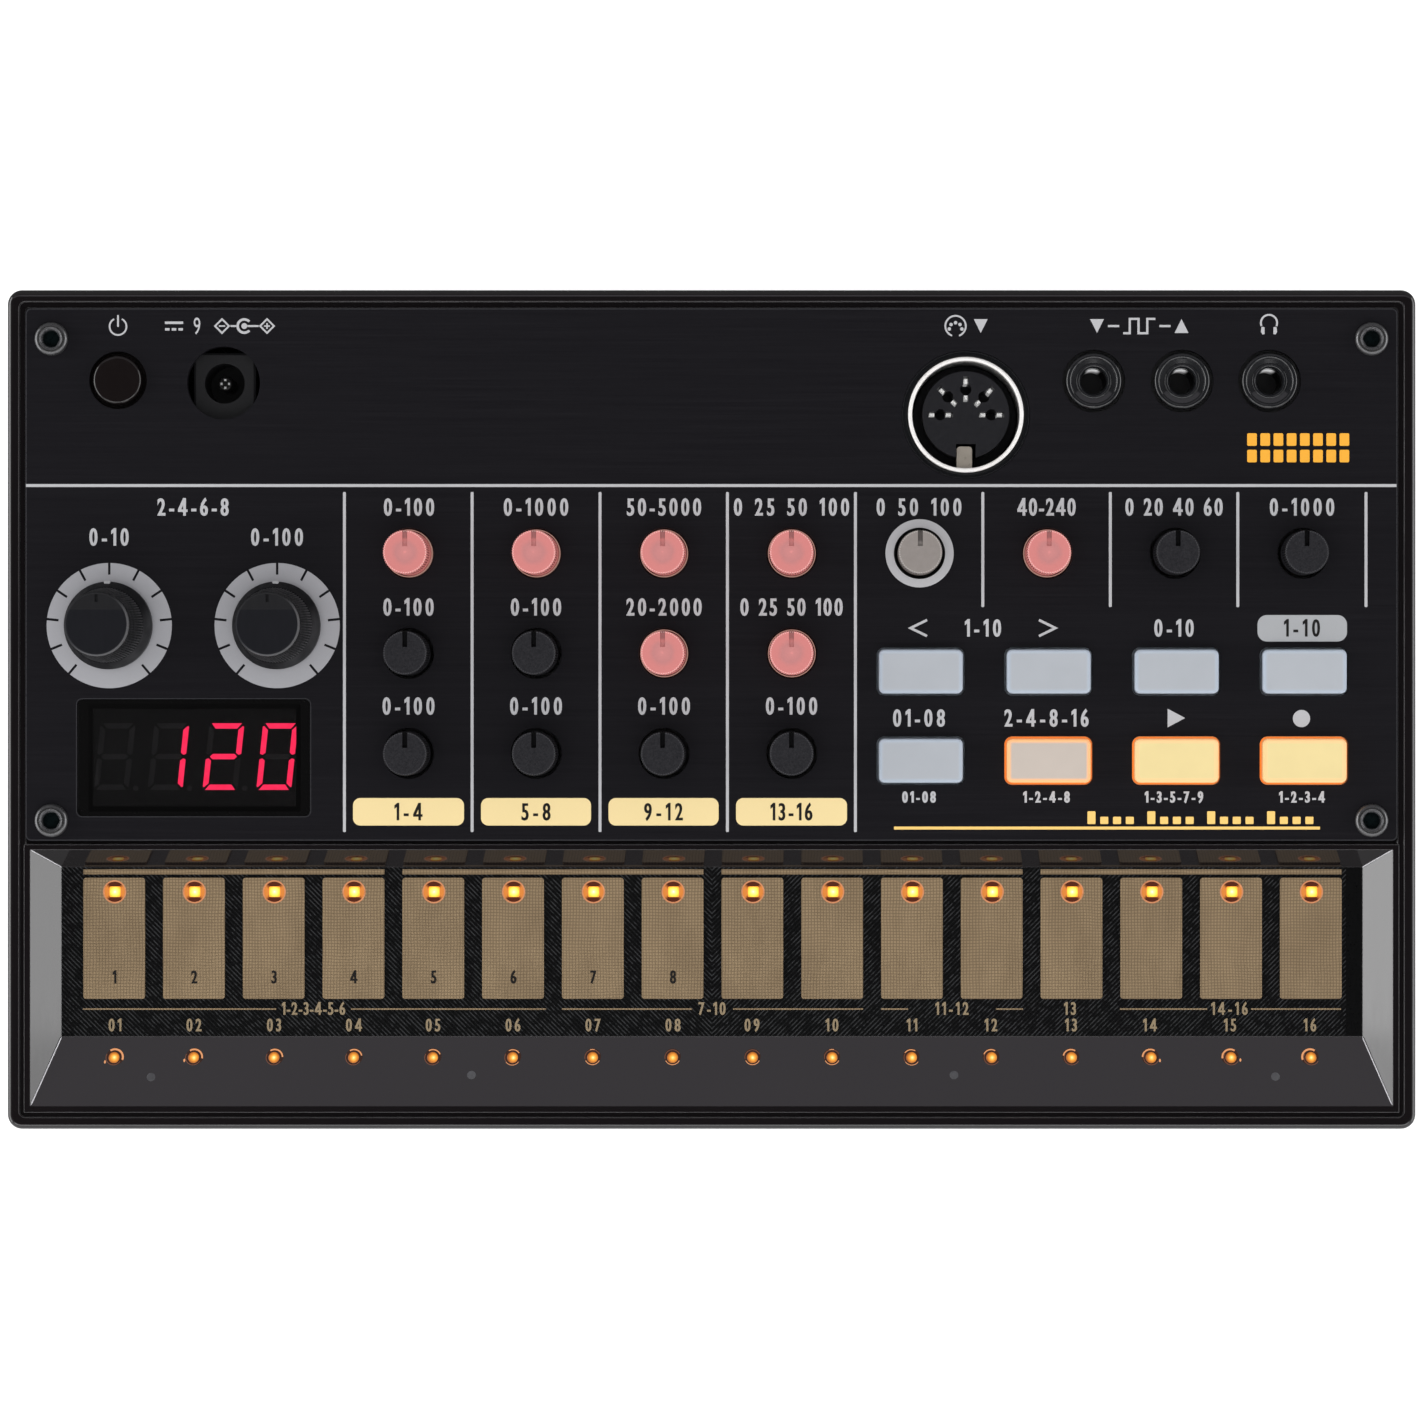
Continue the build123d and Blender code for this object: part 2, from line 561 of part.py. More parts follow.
with BuildPart() as midi_contacts:
    # two spring leaves in each slot, one each side of the pin
    with BuildSketch(Plane.XY.offset(BOARD_TOP + 3.0)):
        with Locations(MIDI_XY):
            for radius in (3.5 - 1.15, 3.5 + 1.15):
                with PolarLocations(radius, 5, start_angle=0, angular_range=180, endpoint=True):
                    Rectangle(0.66, 0.5)
    extrude(amount=7.3)
    chamfer(midi_contacts.faces().group_by(Axis.Z)[-1].edges(), 0.14)
save(midi_contacts, "midi_contacts")

with BuildPart() as jack_bodies:
    with BuildSketch(Plane.XY.offset(BOARD_TOP)):
        with Locations(*[(x, JACK_Y) for x in JACK_X]):
            Rectangle(10.6, 11.0)
    extrude(amount=9.3)
    with BuildSketch(Plane.XY.offset(BOARD_TOP + 9.3)):
        with Locations(*[(x, JACK_Y) for x in JACK_X]):
            Circle(JACK_BORE_R)
    extrude(amount=-8.3, mode=Mode.SUBTRACT)
save(jack_bodies, "jack_bodies")

with BuildPart() as jack_collars:
    # rounded rim, dished face and a small lip round the bore
    for x in JACK_X:
        with BuildSketch(Plane(origin=(x, JACK_Y, 0), x_dir=(1, 0, 0), z_dir=(0, -1, 0))):
            with BuildLine():
                Polyline((2.02, 32.66), (JACK_BORE_R, 32.4), (JACK_BORE_R, 30.5), (COLLAR_R, 30.5), (COLLAR_R, 32.6))
                ThreePointArc((COLLAR_R, 32.6), (COLLAR_R - 0.117, 32.883), (COLLAR_R - 0.4, 33.0))
                ThreePointArc((COLLAR_R - 0.4, 33.0), (COLLAR_R - 0.63, 32.93), (COLLAR_R - 0.78, 32.74))
                Line((COLLAR_R - 0.78, 32.74), (2.45, 32.56))
                ThreePointArc((2.45, 32.56), (2.25, 32.71), (2.02, 32.66))
            make_face()
        revolve(axis=Axis((x, JACK_Y, 0), (0, 0, 1)))
save(jack_collars, "jack_collars")

# ================================================================== speaker
with BuildPart() as speaker:
    with BuildSketch(Plane(origin=(*SPEAKER_XY, 0), x_dir=(1, 0, 0), z_dir=(0, -1, 0))):
        with BuildLine():
            Polyline(
                (0, 3.9), (5, 3.9), (14.2, 5.4), (14.6, 3.5), (SPEAKER_R, 3.5), (SPEAKER_R, 5.5), (15.0, 6.5),
                (9.0, 9.0), (9.0, 12.6), (0, 12.6), close=True,
            )
        make_face()
    revolve(axis=Axis((*SPEAKER_XY, 0), (0, 0, 1)))
save(speaker, "speaker")

# ================================================================== batteries
CELL_X = [BAY_X0 + 2.4, BAY_X0 + 2.4 + CELL_L + 0.6]
CELL_Z = HINGE_Z + COVER_T / 2 + 0.25 + CELL_R

with BuildPart() as battery_cells:
    for x0 in CELL_X:
        with BuildSketch(Plane.YZ.offset(x0 + 1.0)):
            with Locations(*[(y, CELL_Z) for y in CELL_Y]):
                Circle(CELL_R)
        extrude(amount=CELL_L - 1.0 - 1.3)
        with BuildSketch(Plane.YZ.offset(x0)):
            with Locations(*[(y, CELL_Z) for y in CELL_Y]):
                Circle(4.5)
        extrude(amount=1.0)
        with BuildSketch(Plane.YZ.offset(x0 + CELL_L - 1.3)):
            with Locations(*[(y, CELL_Z) for y in CELL_Y]):
                Circle(2.7)
        extrude(amount=1.3)
save(battery_cells, "battery_cells")

with BuildPart() as battery_terminals:
    # spring plates at the left end, flat plates at the right end
    with BuildSketch(Plane.YZ.offset(BAY_X0)):
        with Locations(*[(y, CELL_Z) for y in CELL_Y]):
            Rectangle(11.0, 11.0)
    extrude(amount=0.4)
    with BuildSketch(Plane.YZ.offset(BAY_X0 + 0.4)):
        with Locations(*[(y, CELL_Z) for y in CELL_Y]):
            Circle(3.6)
            Circle(2.6, mode=Mode.SUBTRACT)
    extrude(amount=2.0)
    with BuildSketch(Plane.YZ.offset(BAY_X1)):
        with Locations(*[(y, CELL_Z) for y in CELL_Y]):
            Rectangle(11.0, 11.0)
    extrude(amount=-0.4)
    with BuildSketch(Plane.YZ.offset(BAY_X1 - 0.4)):
        with Locations(*[(y, CELL_Z) for y in CELL_Y]):
            Circle(3.0)
    extrude(amount=-(BAY_X1 - 0.4 - CELL_X[1] - CELL_L))
save(battery_terminals, "battery_terminals")

# ================================================================== small knobs
for row, y in enumerate(KNOB_ROWS, start=1):
    for col, x in enumerate(KNOB_X if row == 1 else KNOB_X[:4], start=1):
        with BuildPart() as small_knob:
            # fluted grip
            with BuildSketch(Plane.XY.offset(KNOB_Z0)):
                with Locations((x, y)):
                    Circle(KNOB_R)
            extrude(amount=KNOB_Z1 - KNOB_Z0)
            chamfer(small_knob.faces().sort_by(Axis.Z)[-1].edges(), 0.12)
            with BuildSketch(Plane.XY.offset(33.6)):
                with Locations((x, y)):
                    with PolarLocations(KNOB_R + 0.01, KNOB_FLUTES):
                        Rectangle(0.22, 0.22, rotation=45)
            extrude(amount=KNOB_Z1 - 33.6, mode=Mode.SUBTRACT)
            # pointer groove across the top, from the middle to the back edge
            with BuildSketch(Plane.XY.offset(KNOB_Z1)):
                with Locations((x, y + 2.0)):
                    Rectangle(0.66, 2.4)
            extrude(amount=-0.5, mode=Mode.SUBTRACT)
            # shaft that turns in the potentiometer
            with BuildSketch(Plane.XY.offset(KNOB_Z0)):
                with Locations((x, y)):
                    Circle(KNOB_SHAFT_R)
            extrude(amount=-4.6)
        save(small_knob, f"knob_r{row}c{col}")

# ================================================================== large dials
for side, (x, y) in DIAL_POS.items():
    with BuildPart() as dial:
        # skirt, flared in two steps to a tapered grip with a rounded crown
        with BuildSketch(Plane.XY.offset(DIAL_Z0)):
            with Locations((x, y)):
                Circle(DIAL_R)
        extrude(amount=1.2)
        with BuildSketch(Plane.XY.offset(DIAL_Z0 + 1.2)):
            with Locations((x, y)):
                Circle(DIAL_R)
        with BuildSketch(Plane.XY.offset(DIAL_Z0 + 3.4)):
            with Locations((x, y)):
                Circle(DIAL_GRIP_R + 0.06)
        loft()
        # fine ribs on the tapered grip
        with BuildSketch(Plane.XY.offset(DIAL_Z0 + 3.4)):
            with Locations((x, y)):
                Circle(DIAL_GRIP_R)
                with PolarLocations(DIAL_GRIP_R, DIAL_FLUTES):
                    Circle(0.1, mode=Mode.SUBTRACT)
        with BuildSketch(Plane.XY.offset(DIAL_Z1 - 0.9)):
            with Locations((x, y)):
                Circle(DIAL_TOP_R + 0.05)
                with PolarLocations(DIAL_TOP_R + 0.05, DIAL_FLUTES):
                    Circle(0.085, mode=Mode.SUBTRACT)
        loft(ruled=True)
        # smooth crown with a rounded edge, and a shallow facet across its back quarter
        with BuildSketch(Plane.XY.offset(DIAL_Z1 - 0.95)):
            with Locations((x, y)):
                Circle(DIAL_TOP_R)
        extrude(amount=0.95)
        fillet(dial.faces().sort_by(Axis.Z)[-1].edges(), 0.45)
        with BuildSketch(Plane(origin=(x - 6, 0, 0), x_dir=(0, 1, 0), z_dir=(1, 0, 0))):
            with BuildLine():
                Polyline((y + 1.95, DIAL_Z1 + 0.01), (y + 6, DIAL_Z1 - 0.2), (y + 6, DIAL_Z1 + 1), (y + 1.95, DIAL_Z1 + 1), close=True)
            make_face()
        extrude(amount=12, mode=Mode.SUBTRACT)
        # pointer: a slot in the crown's back edge and a notch in the skirt
        with BuildSketch(Plane.XY.offset(DIAL_Z1)):
            with Locations((x, y + 3.5)):
                Rectangle(0.4, 1.0)
        extrude(amount=-0.5, mode=Mode.SUBTRACT)
        with BuildSketch(Plane.XY.offset(DIAL_Z0)):
            with Locations((x, y + DIAL_R)):
                Circle(0.45)
        extrude(amount=1.6, mode=Mode.SUBTRACT)
        # bore for the shaft, relieved above the bushing
        with BuildSketch(Plane.XY.offset(DIAL_Z0)):
            with Locations((x, y)):
                Circle(DIAL_SHAFT_R)
        extrude(amount=9.5, mode=Mode.SUBTRACT)
    save(dial, f"dial_{side}")

    with BuildPart() as dial_shaft:
        with BuildSketch(Plane.XY.offset(24.0)):
            with Locations((x, y)):
                Circle(2.5)
        extrude(amount=8.8)
        with BuildSketch(Plane.XY.offset(32.8)):
            with Locations((x, y)):
                Circle(DIAL_SHAFT_R)
        extrude(amount=9.2)
    save(dial_shaft, f"dial_shaft_{side}")

# ================================================================== buttons
for row, y in enumerate(BUTTON_ROWS, start=1):
    for col, x in enumerate(BUTTON_X, start=1):
        with BuildPart() as button:
            # retaining flange under the panel
            with BuildSketch(Plane.XY.offset(29.0)):
                with Locations((x, y)):
                    RectangleRounded(BUTTON_W + 1.8, BUTTON_D + 1.8, 1.0)
            extrude(amount=1.6)
            # cap
            with BuildSketch(Plane.XY.offset(30.6)):
                with Locations((x, y)):
                    RectangleRounded(BUTTON_W, BUTTON_D, BUTTON_R)
            extrude(amount=BUTTON_TOP - 30.6)
            fillet(button.faces().sort_by(Axis.Z)[-1].edges(), 0.35)
            # plunger
            with BuildSketch(Plane.XY.offset(29.0)):
                with Locations((x, y)):
                    Circle(1.3)
            extrude(amount=-(29.0 - BOARD_TOP - 3.5 - BUTTON_TRAVEL - 0.1))
        save(button, f"button_r{row}c{col}")

with BuildPart() as power_button:
    with BuildSketch(Plane.XY.offset(28.8)):
        with Locations(POWER_XY):
            Circle(4.6)
    extrude(amount=1.4)
    with BuildSketch(Plane.XY.offset(30.2)):
        with Locations(POWER_XY):
            Circle(POWER_R)
    extrude(amount=POWER_TOP - 30.2)
    fillet(power_button.faces().sort_by(Axis.Z)[-1].edges(), 0.4)
    with BuildSketch(Plane.XY.offset(28.8)):
        with Locations(POWER_XY):
            Circle(1.5)
    extrude(amount=-1.4)
save(power_button, "power_button")
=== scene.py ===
import bpy
import bmesh
import json
import math
from mathutils import Vector, Matrix, geometry


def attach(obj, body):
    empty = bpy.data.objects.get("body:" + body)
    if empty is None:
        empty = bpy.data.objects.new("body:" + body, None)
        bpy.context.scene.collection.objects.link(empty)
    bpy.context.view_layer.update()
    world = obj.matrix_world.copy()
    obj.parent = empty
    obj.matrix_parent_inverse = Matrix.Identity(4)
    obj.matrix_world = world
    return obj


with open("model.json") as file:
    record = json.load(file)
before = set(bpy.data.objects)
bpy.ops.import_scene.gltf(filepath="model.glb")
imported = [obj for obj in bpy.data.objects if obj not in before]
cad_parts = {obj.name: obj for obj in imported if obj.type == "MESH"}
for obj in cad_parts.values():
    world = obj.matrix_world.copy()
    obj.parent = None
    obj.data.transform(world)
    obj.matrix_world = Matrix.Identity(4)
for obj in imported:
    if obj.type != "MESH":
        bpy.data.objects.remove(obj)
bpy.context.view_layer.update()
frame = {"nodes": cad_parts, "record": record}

MM = 0.001
Z_PANEL = 32.5           # panel surface
Z_BOARD = 29.3           # touch board surface
Z_PADS = 29.6            # pad surface
EYE = Vector((16.0, 0.0, 782.5))   # the viewer's eye, mm
SCALE = 7.30             # picture pixels per mm on the panel


def place(px, py, z=Z_PANEL):
    """Point at height z that is seen at picture position (px, py), in mm."""
    k = (EYE.z - z) / (EYE.z - Z_PANEL)
    x = (px - 711.5) / SCALE
    y = (709.5 - py) / SCALE
    return EYE.x + (x - EYE.x) * k, y * k


# ---------------------------------------------------------------- node materials
class Mat:
    """A procedural material: a Principled shader with its own node tree. Lengths are in mm of object space."""

    def __init__(self, name, **sockets):
        self.m = bpy.data.materials.new(name)
        self.m.use_nodes = True
        self.t = self.m.node_tree
        self.t.nodes.clear()
        self.out = self.node("ShaderNodeOutputMaterial")
        self.p = self.node("ShaderNodeBsdfPrincipled")
        self.link(self.p.outputs[0], self.out.inputs[0])
        self._co = None
        for k, v in sockets.items():
            self.set(k.replace("_", " "), v)

    def node(self, kind, **props):
        n = self.t.nodes.new(kind)
        for k, v in props.items():
            setattr(n, k, v)
        return n

    def link(self, a, b):
        self.t.links.new(a, b)

    def set(self, key, value):
        if isinstance(value, bpy.types.NodeSocket):
            self.link(value, self.p.inputs[key])
        else:
            if isinstance(value, (tuple, list)) and len(value) == 3:
                value = (*value, 1.0)
            self.p.inputs[key].default_value = value

    def co(self):
        if self._co is None:
            self._co = self.node("ShaderNodeTexCoord").outputs["Object"]
        return self._co

    def scaled(self, sx=1.0, sy=1.0, sz=1.0, rot=(0, 0, 0)):
        """Object coordinates in units of sx, sy, sz mm."""
        n = self.node("ShaderNodeMapping")
        n.inputs["Rotation"].default_value = rot
        n.inputs["Scale"].default_value = (1000 / sx, 1000 / sy, 1000 / sz)
        self.link(self.co(), n.inputs["Vector"])
        return n.outputs[0]

    def noise(self, vec, scale=1.0, detail=3.0, rough=0.55, dist=0.0):
        n = self.node("ShaderNodeTexNoise")
        n.inputs["Scale"].default_value = scale
        n.inputs["Detail"].default_value = detail
        n.inputs["Roughness"].default_value = rough
        n.inputs["Distortion"].default_value = dist
        self.link(vec, n.inputs["Vector"])
        return n.outputs["Fac"]

    def voronoi(self, vec, scale=1.0, feature="F1"):
        n = self.node("ShaderNodeTexVoronoi", feature=feature)
        n.inputs["Scale"].default_value = scale
        self.link(vec, n.inputs["Vector"])
        return n.outputs["Distance"]

    def math(self, op, a, b=None, c=None, clamp=False):
        n = self.node("ShaderNodeMath", operation=op, use_clamp=clamp)
        for i, v in enumerate((a, b, c)):
            if v is None:
                continue
            if isinstance(v, bpy.types.NodeSocket):
                self.link(v, n.inputs[i])
            else:
                n.inputs[i].default_value = v
        return n.outputs[0]

    def xyz(self, vec=None):
        n = self.node("ShaderNodeSeparateXYZ")
        self.link(vec if vec is not None else self.co(), n.inputs[0])
        return n.outputs[0], n.outputs[1], n.outputs[2]

    def range(self, v, a, b, c, d, smooth=False):
        n = self.node("ShaderNodeMapRange", interpolation_type="SMOOTHSTEP" if smooth else "LINEAR")
        self.link(v, n.inputs[0])
        for i, x in enumerate((a, b, c, d), start=1):
            n.inputs[i].default_value = x
        return n.outputs[0]

    def ramp(self, v, stops):
        n = self.node("ShaderNodeValToRGB")
        els = n.color_ramp.elements
        while len(els) < len(stops):
            els.new(0.5)
        for e, (pos, col) in zip(els, stops):
            e.position = pos
            e.color = (*col, 1.0) if len(col) == 3 else col
        self.link(v, n.inputs[0])
        return n.outputs[0]

    def mix(self, fac, a, b, kind="MIX"):
        n = self.node("ShaderNodeMix", data_type="RGBA", blend_type=kind)
        for sock, v in ((n.inputs[0], fac), (n.inputs[6], a), (n.inputs[7], b)):
            if isinstance(v, bpy.types.NodeSocket):
                self.link(v, sock)
            elif isinstance(v, (tuple, list)):
                sock.default_value = (*v[:3], 1.0)
            else:
                sock.default_value = v
        return n.outputs[2]

    def bump(self, height, distance, strength=1.0, edge=0.0):
        """Fine relief, and edges that look rounded by edge mm."""
        n = self.node("ShaderNodeBump")
        n.inputs["Strength"].default_value = strength
        n.inputs["Distance"].default_value = distance * MM
        self.link(height, n.inputs["Height"])
        if edge:
            b = self.node("ShaderNodeBevel", samples=4)
            b.inputs["Radius"].default_value = edge * MM
            self.link(b.outputs[0], n.inputs["Normal"])
        self.set("Normal", n.outputs[0])
        return n.outputs[0]

    def edge(self, radius):
        """Mask that is 1 along sharp edges, in a band of about radius mm."""
        b = self.node("ShaderNodeBevel", samples=6)
        b.inputs["Radius"].default_value = radius * MM
        g = self.node("ShaderNodeNewGeometry")
        d = self.node("ShaderNodeVectorMath", operation="DOT_PRODUCT")
        self.link(b.outputs[0], d.inputs[0])
        self.link(g.outputs["Normal"], d.inputs[1])
        return self.range(d.outputs["Value"], 0.90, 0.985, 1.0, 0.0)

    def tilt(self, k):
        """Leans the upward-facing surface toward +Y by the socket k, on top of its relief."""
        g = self.node("ShaderNodeNewGeometry")
        n = self.p.inputs["Normal"].links[0].from_socket
        up = self.node("ShaderNodeSeparateXYZ")
        self.link(g.outputs["Normal"], up.inputs[0])
        k = self.math("MULTIPLY", k, self.math("GREATER_THAN", up.outputs[2], 0.95))
        v = self.node("ShaderNodeCombineXYZ")
        self.link(k, v.inputs[1])
        s = self.node("ShaderNodeVectorMath", operation="ADD")
        self.link(n, s.inputs[0])
        self.link(v.outputs[0], s.inputs[1])
        u = self.node("ShaderNodeVectorMath", operation="NORMALIZE")
        self.link(s.outputs[0], u.inputs[0])
        self.set("Normal", u.outputs[0])


def moulded(name, color, rough=0.45, grain=0.35, depth=0.01, spec=0.5, vary=0.12):
    """Matt moulded plastic with a spark-eroded grain."""
    m = Mat(name, Specular_IOR_Level=spec)
    fine = m.noise(m.scaled(), 1.0 / grain, 4.0, 0.6)
    slow = m.noise(m.scaled(), 1.0 / 14.0, 3.0, 0.5)
    dark = tuple(c * (1 - vary) for c in color)
    lite = tuple(min(1, c * (1 + vary)) for c in color)
    m.set("Base Color", m.mix(m.math("ADD", m.math("MULTIPLY", fine, 0.5), m.math("MULTIPLY", slow, 0.5)), dark, lite))
    m.set("Roughness", m.range(fine, 0.3, 0.7, rough - 0.07, rough + 0.07))
    m.bump(fine, depth)
    return m


def glossy(name, color, rough=0.12, coat=0.0, metallic=0.0, spec=0.5, vary=0.08, waviness=0.0008, edge=0.0):
    """Polished surface with faint handling marks and a very slight moulding wave."""
    m = Mat(name, Specular_IOR_Level=spec, Metallic=metallic, Coat_Weight=coat, Coat_Roughness=0.04)
    slow = m.noise(m.scaled(), 1.0 / 18.0, 3.0, 0.5)
    fine = m.noise(m.scaled(1.2, 5.0, 2.0), 1.0, 3.0, 0.6)
    dark = tuple(c * (1 - vary) for c in color)
    lite = tuple(min(1, c * (1 + vary)) for c in color)
    m.set("Base Color", m.mix(slow, dark, lite))
    m.set("Roughness", m.range(fine, 0.3, 0.75, rough * 0.8, rough * 1.35))
    m.bump(slow, waviness * 10, 1.0, edge)
    return m


MATS = {}

# dark, slightly brown clear-cast housing with a hard gloss
m = Mat("shell_smoke", IOR=1.75, Specular_IOR_Level=0.5, Coat_Weight=0.0)
slow = m.noise(m.scaled(), 1.0 / 22.0, 3.0, 0.5)
fine = m.noise(m.scaled(0.8, 6.0, 1.4), 1.0, 3.0, 0.65)
base = m.mix(slow, (0.0060, 0.0048, 0.0054), (0.0084, 0.0068, 0.0076))
# pale painted highlight along the housing's sharp edges
m.set("Base Color", m.mix(m.edge(0.15), base, (0.10, 0.096, 0.10)))
m.set("Roughness", m.range(fine, 0.3, 0.8, 0.035, 0.09))
m.bump(slow, 0.012, 1.0, 0.12)
x, y, z = m.xyz(m.scaled())
m.tilt(m.range(y, 56.2, 56.9, 0.0, 0.28, True))
MATS["shell"] = m

MATS["shell_lower"] = moulded("shell_lower_black", (0.010, 0.0095, 0.010), 0.42, 0.30, 0.014, 0.3)

# brushed black metal
m = Mat("panel_brushed", Metallic=0.0, Specular_IOR_Level=0.12)
streak = m.noise(m.scaled(26.0, 0.16, 1.0), 1.0, 4.0, 0.65)
streak2 = m.noise(m.scaled(7.0, 0.07, 1.0), 1.0, 2.0, 0.6)
both = m.math("ADD", m.math("MULTIPLY", streak, 0.6), m.math("MULTIPLY", streak2, 0.4))
slow = m.noise(m.scaled(), 1.0 / 30.0, 2.0, 0.5)
col = m.ramp(both, [(0.30, (0.0058, 0.0054, 0.0070)), (0.5, (0.0082, 0.0077, 0.0098)), (0.70, (0.0112, 0.0106, 0.0130))])
m.set("Base Color", m.mix(m.math("MULTIPLY", slow, 0.5), col, (0.0075, 0.0071, 0.0091)))
m.set("Roughness", m.range(both, 0.3, 0.7, 0.30, 0.46))
m.bump(both, 0.006)
MATS["panel_metal"] = m


def ink(name, color, rough=0.5, vary=0.06, emission=None, strength=0.0):
    """Screen-printed ink: slightly raised, faintly uneven cover."""
    m = Mat(name, Specular_IOR_Level=0.35)
    n = m.noise(m.scaled(), 1.0 / 0.35, 4.0, 0.7)
    slow = m.noise(m.scaled(), 1.0 / 12.0, 2.0, 0.5)
    f = m.math("ADD", m.math("MULTIPLY", n, 0.6), m.math("MULTIPLY", slow, 0.4))
    m.set("Base Color", m.mix(f, tuple(c * (1 - vary) for c in color), tuple(min(1, c * (1 + vary)) for c in color)))
    m.set("Roughness", m.range(n, 0.3, 0.7, rough - 0.08, rough + 0.08))
    m.bump(n, 0.004)
    return m


MATS["ink_silver"] = ink("ink_silver", (0.48, 0.48, 0.497))
MATS["ink_ring"] = ink("ink_ring", (0.365, 0.365, 0.388))
MATS["ink_plate"] = ink("ink_plate_grey", (0.385, 0.395, 0.41))
MATS["ink_cream"] = ink("ink_cream", (0.87, 0.69, 0.34), 0.45, 0.03)
MATS["ink_yellow"] = ink("ink_yellow", (0.93, 0.43, 0.028), 0.45, 0.03)
MATS["ink_pale_yellow"] = ink("ink_pale_yellow", (0.95, 0.62, 0.175), 0.45, 0.03)
MATS["ink_dark"] = ink("ink_dark", (0.006, 0.005, 0.0045))
MATS["ink_tan"] = ink("ink_tan", (0.285, 0.215, 0.125), 0.4)
# pale line laid along edges: a painted highlight
MATS["ink_edge"] = ink("panel_edge_painted_highlight", (0.030, 0.030, 0.034), 0.3)

# button-head screws: the colour by radius round each screw paints the light, bright rings as painted highlights and a
# near-black socket as painted shade
m = Mat("screw_black_steel", Metallic=0.85, Specular_IOR_Level=0.5)
x, y, z = m.xyz(m.scaled())
lx = m.math("SUBTRACT", m.math("ABSOLUTE", x), 90.4)
ly = m.math("SUBTRACT", m.math("ABSOLUTE", m.math("SUBTRACT", y, 17.775)), 32.975)
r = m.math("SQRT", m.math("ADD", m.math("MULTIPLY", lx, lx), m.math("MULTIPLY", ly, ly)))
n = m.noise(m.scaled(), 1.0 / 0.5, 3.0, 0.6)
r = m.math("ADD", r, m.math("MULTIPLY", m.math("SUBTRACT", n, 0.5), 0.12))
c = m.ramp(m.math("DIVIDE", r, 2.5), [(0.0, (0.010, 0.020, 0.022)), (0.44, (0.008, 0.014, 0.015)), (0.50, (0.17, 0.17, 0.18)), (0.60, (0.34, 0.34, 0.35)), (0.66, (0.08, 0.08, 0.08)), (0.80, (0.15, 0.15, 0.155)), (1.0, (0.24, 0.24, 0.245))])
m.set("Base Color", c)
m.set("Roughness", m.range(n, 0.3, 0.7, 0.22, 0.40))
m.bump(n, 0.006, 1.0, 0.08)
MATS["screw_steel"] = m
MATS["rubber"] = moulded("rubber_foot", (0.011, 0.011, 0.011), 0.75, 0.2, 0.02, 0.3)
m = Mat("nickel_plated", Metallic=0.05, Specular_IOR_Level=0.5)
x, y, z = m.xyz(m.scaled())
lx = m.math("SUBTRACT", x, 34.85)
ly = m.math("SUBTRACT", y, 40.4)
r = m.math("SQRT", m.math("ADD", m.math("MULTIPLY", lx, lx), m.math("MULTIPLY", ly, ly)))
key = m.math("MULTIPLY", m.math("LESS_THAN", r, 7.3), m.math("GREATER_THAN", r, 4.0))
n = m.noise(m.scaled(), 1.0 / 2.5, 4.0, 0.6)
m.set("Base Color", m.mix(key, m.mix(n, (0.82, 0.80, 0.78), (0.97, 0.95, 0.93)), m.mix(n, (0.18, 0.158, 0.130), (0.32, 0.285, 0.24))))
m.set("Roughness", m.range(n, 0.3, 0.7, 0.22, 0.36))
m.bump(n, 0.006, 1.0, 0.05)
MATS["nickel"] = m
MATS["contact_metal"] = glossy("contact_tin_painted_glow", (0.94, 0.93, 0.91), 0.2, 0.0, 0.15, 0.5, 0.04)
# faint painted glow on the spring contacts
MATS["contact_metal"].set("Emission Color", (1.0, 1.0, 1.0))
MATS["contact_metal"].set("Emission Strength", 0.25)
MATS["jack_plastic"] = glossy("jack_black_gloss", (0.010, 0.0105, 0.0120), 0.11, 0.5, 0.0, 0.5, 0.08, 0.0008, 0.05)
MATS["insert_plastic"] = moulded("socket_face_black", (0.0105, 0.0105, 0.0128), 0.42, 0.5, 0.01, 0.3)
MATS["dc_plastic"] = moulded("dc_body_black", (0.0120, 0.0120, 0.0132), 0.42, 0.5, 0.01, 0.3)
# sleeve inside a jack: painted light, a glowing painted highlight along its back that fades to painted shade deeper
# down the bore
m = Mat("jack_sleeve_painted_light", Metallic=0.45, Specular_IOR_Level=0.5, Emission_Strength=0.55)
x, y, z = m.xyz(m.scaled())
lx = m.math("ABSOLUTE", m.math("SUBTRACT", m.math("WRAP", m.math("ADD", x, -52.36 + 6.02), 12.04, 0.0), 6.02))
ly = m.math("SUBTRACT", m.math("SUBTRACT", y, 45.0), m.math("MULTIPLY", lx, 0.55))
n = m.noise(m.scaled(), 1.0 / 0.6, 3.0, 0.6)
painted_lit_mask = m.math("MULTIPLY", m.range(ly, 0.75, 1.45, 0.0, 1.0, True), m.range(z, 24.0, 28.0, 0.25, 1.0, True))
m.set("Base Color", m.mix(painted_lit_mask, (0.004, 0.004, 0.004), m.mix(n, (0.70, 0.70, 0.69), (0.90, 0.90, 0.89))))
m.set("Emission Color", m.mix(painted_lit_mask, (0.0, 0.0, 0.0), m.mix(n, (0.75, 0.76, 0.78), (1.0, 1.0, 1.0))))
m.set("Roughness", m.range(n, 0.3, 0.7, 0.3, 0.45))
MATS["sleeve_bright"] = m
MATS["part_plastic"] = moulded("component_plastic", (0.03, 0.03, 0.032), 0.5)
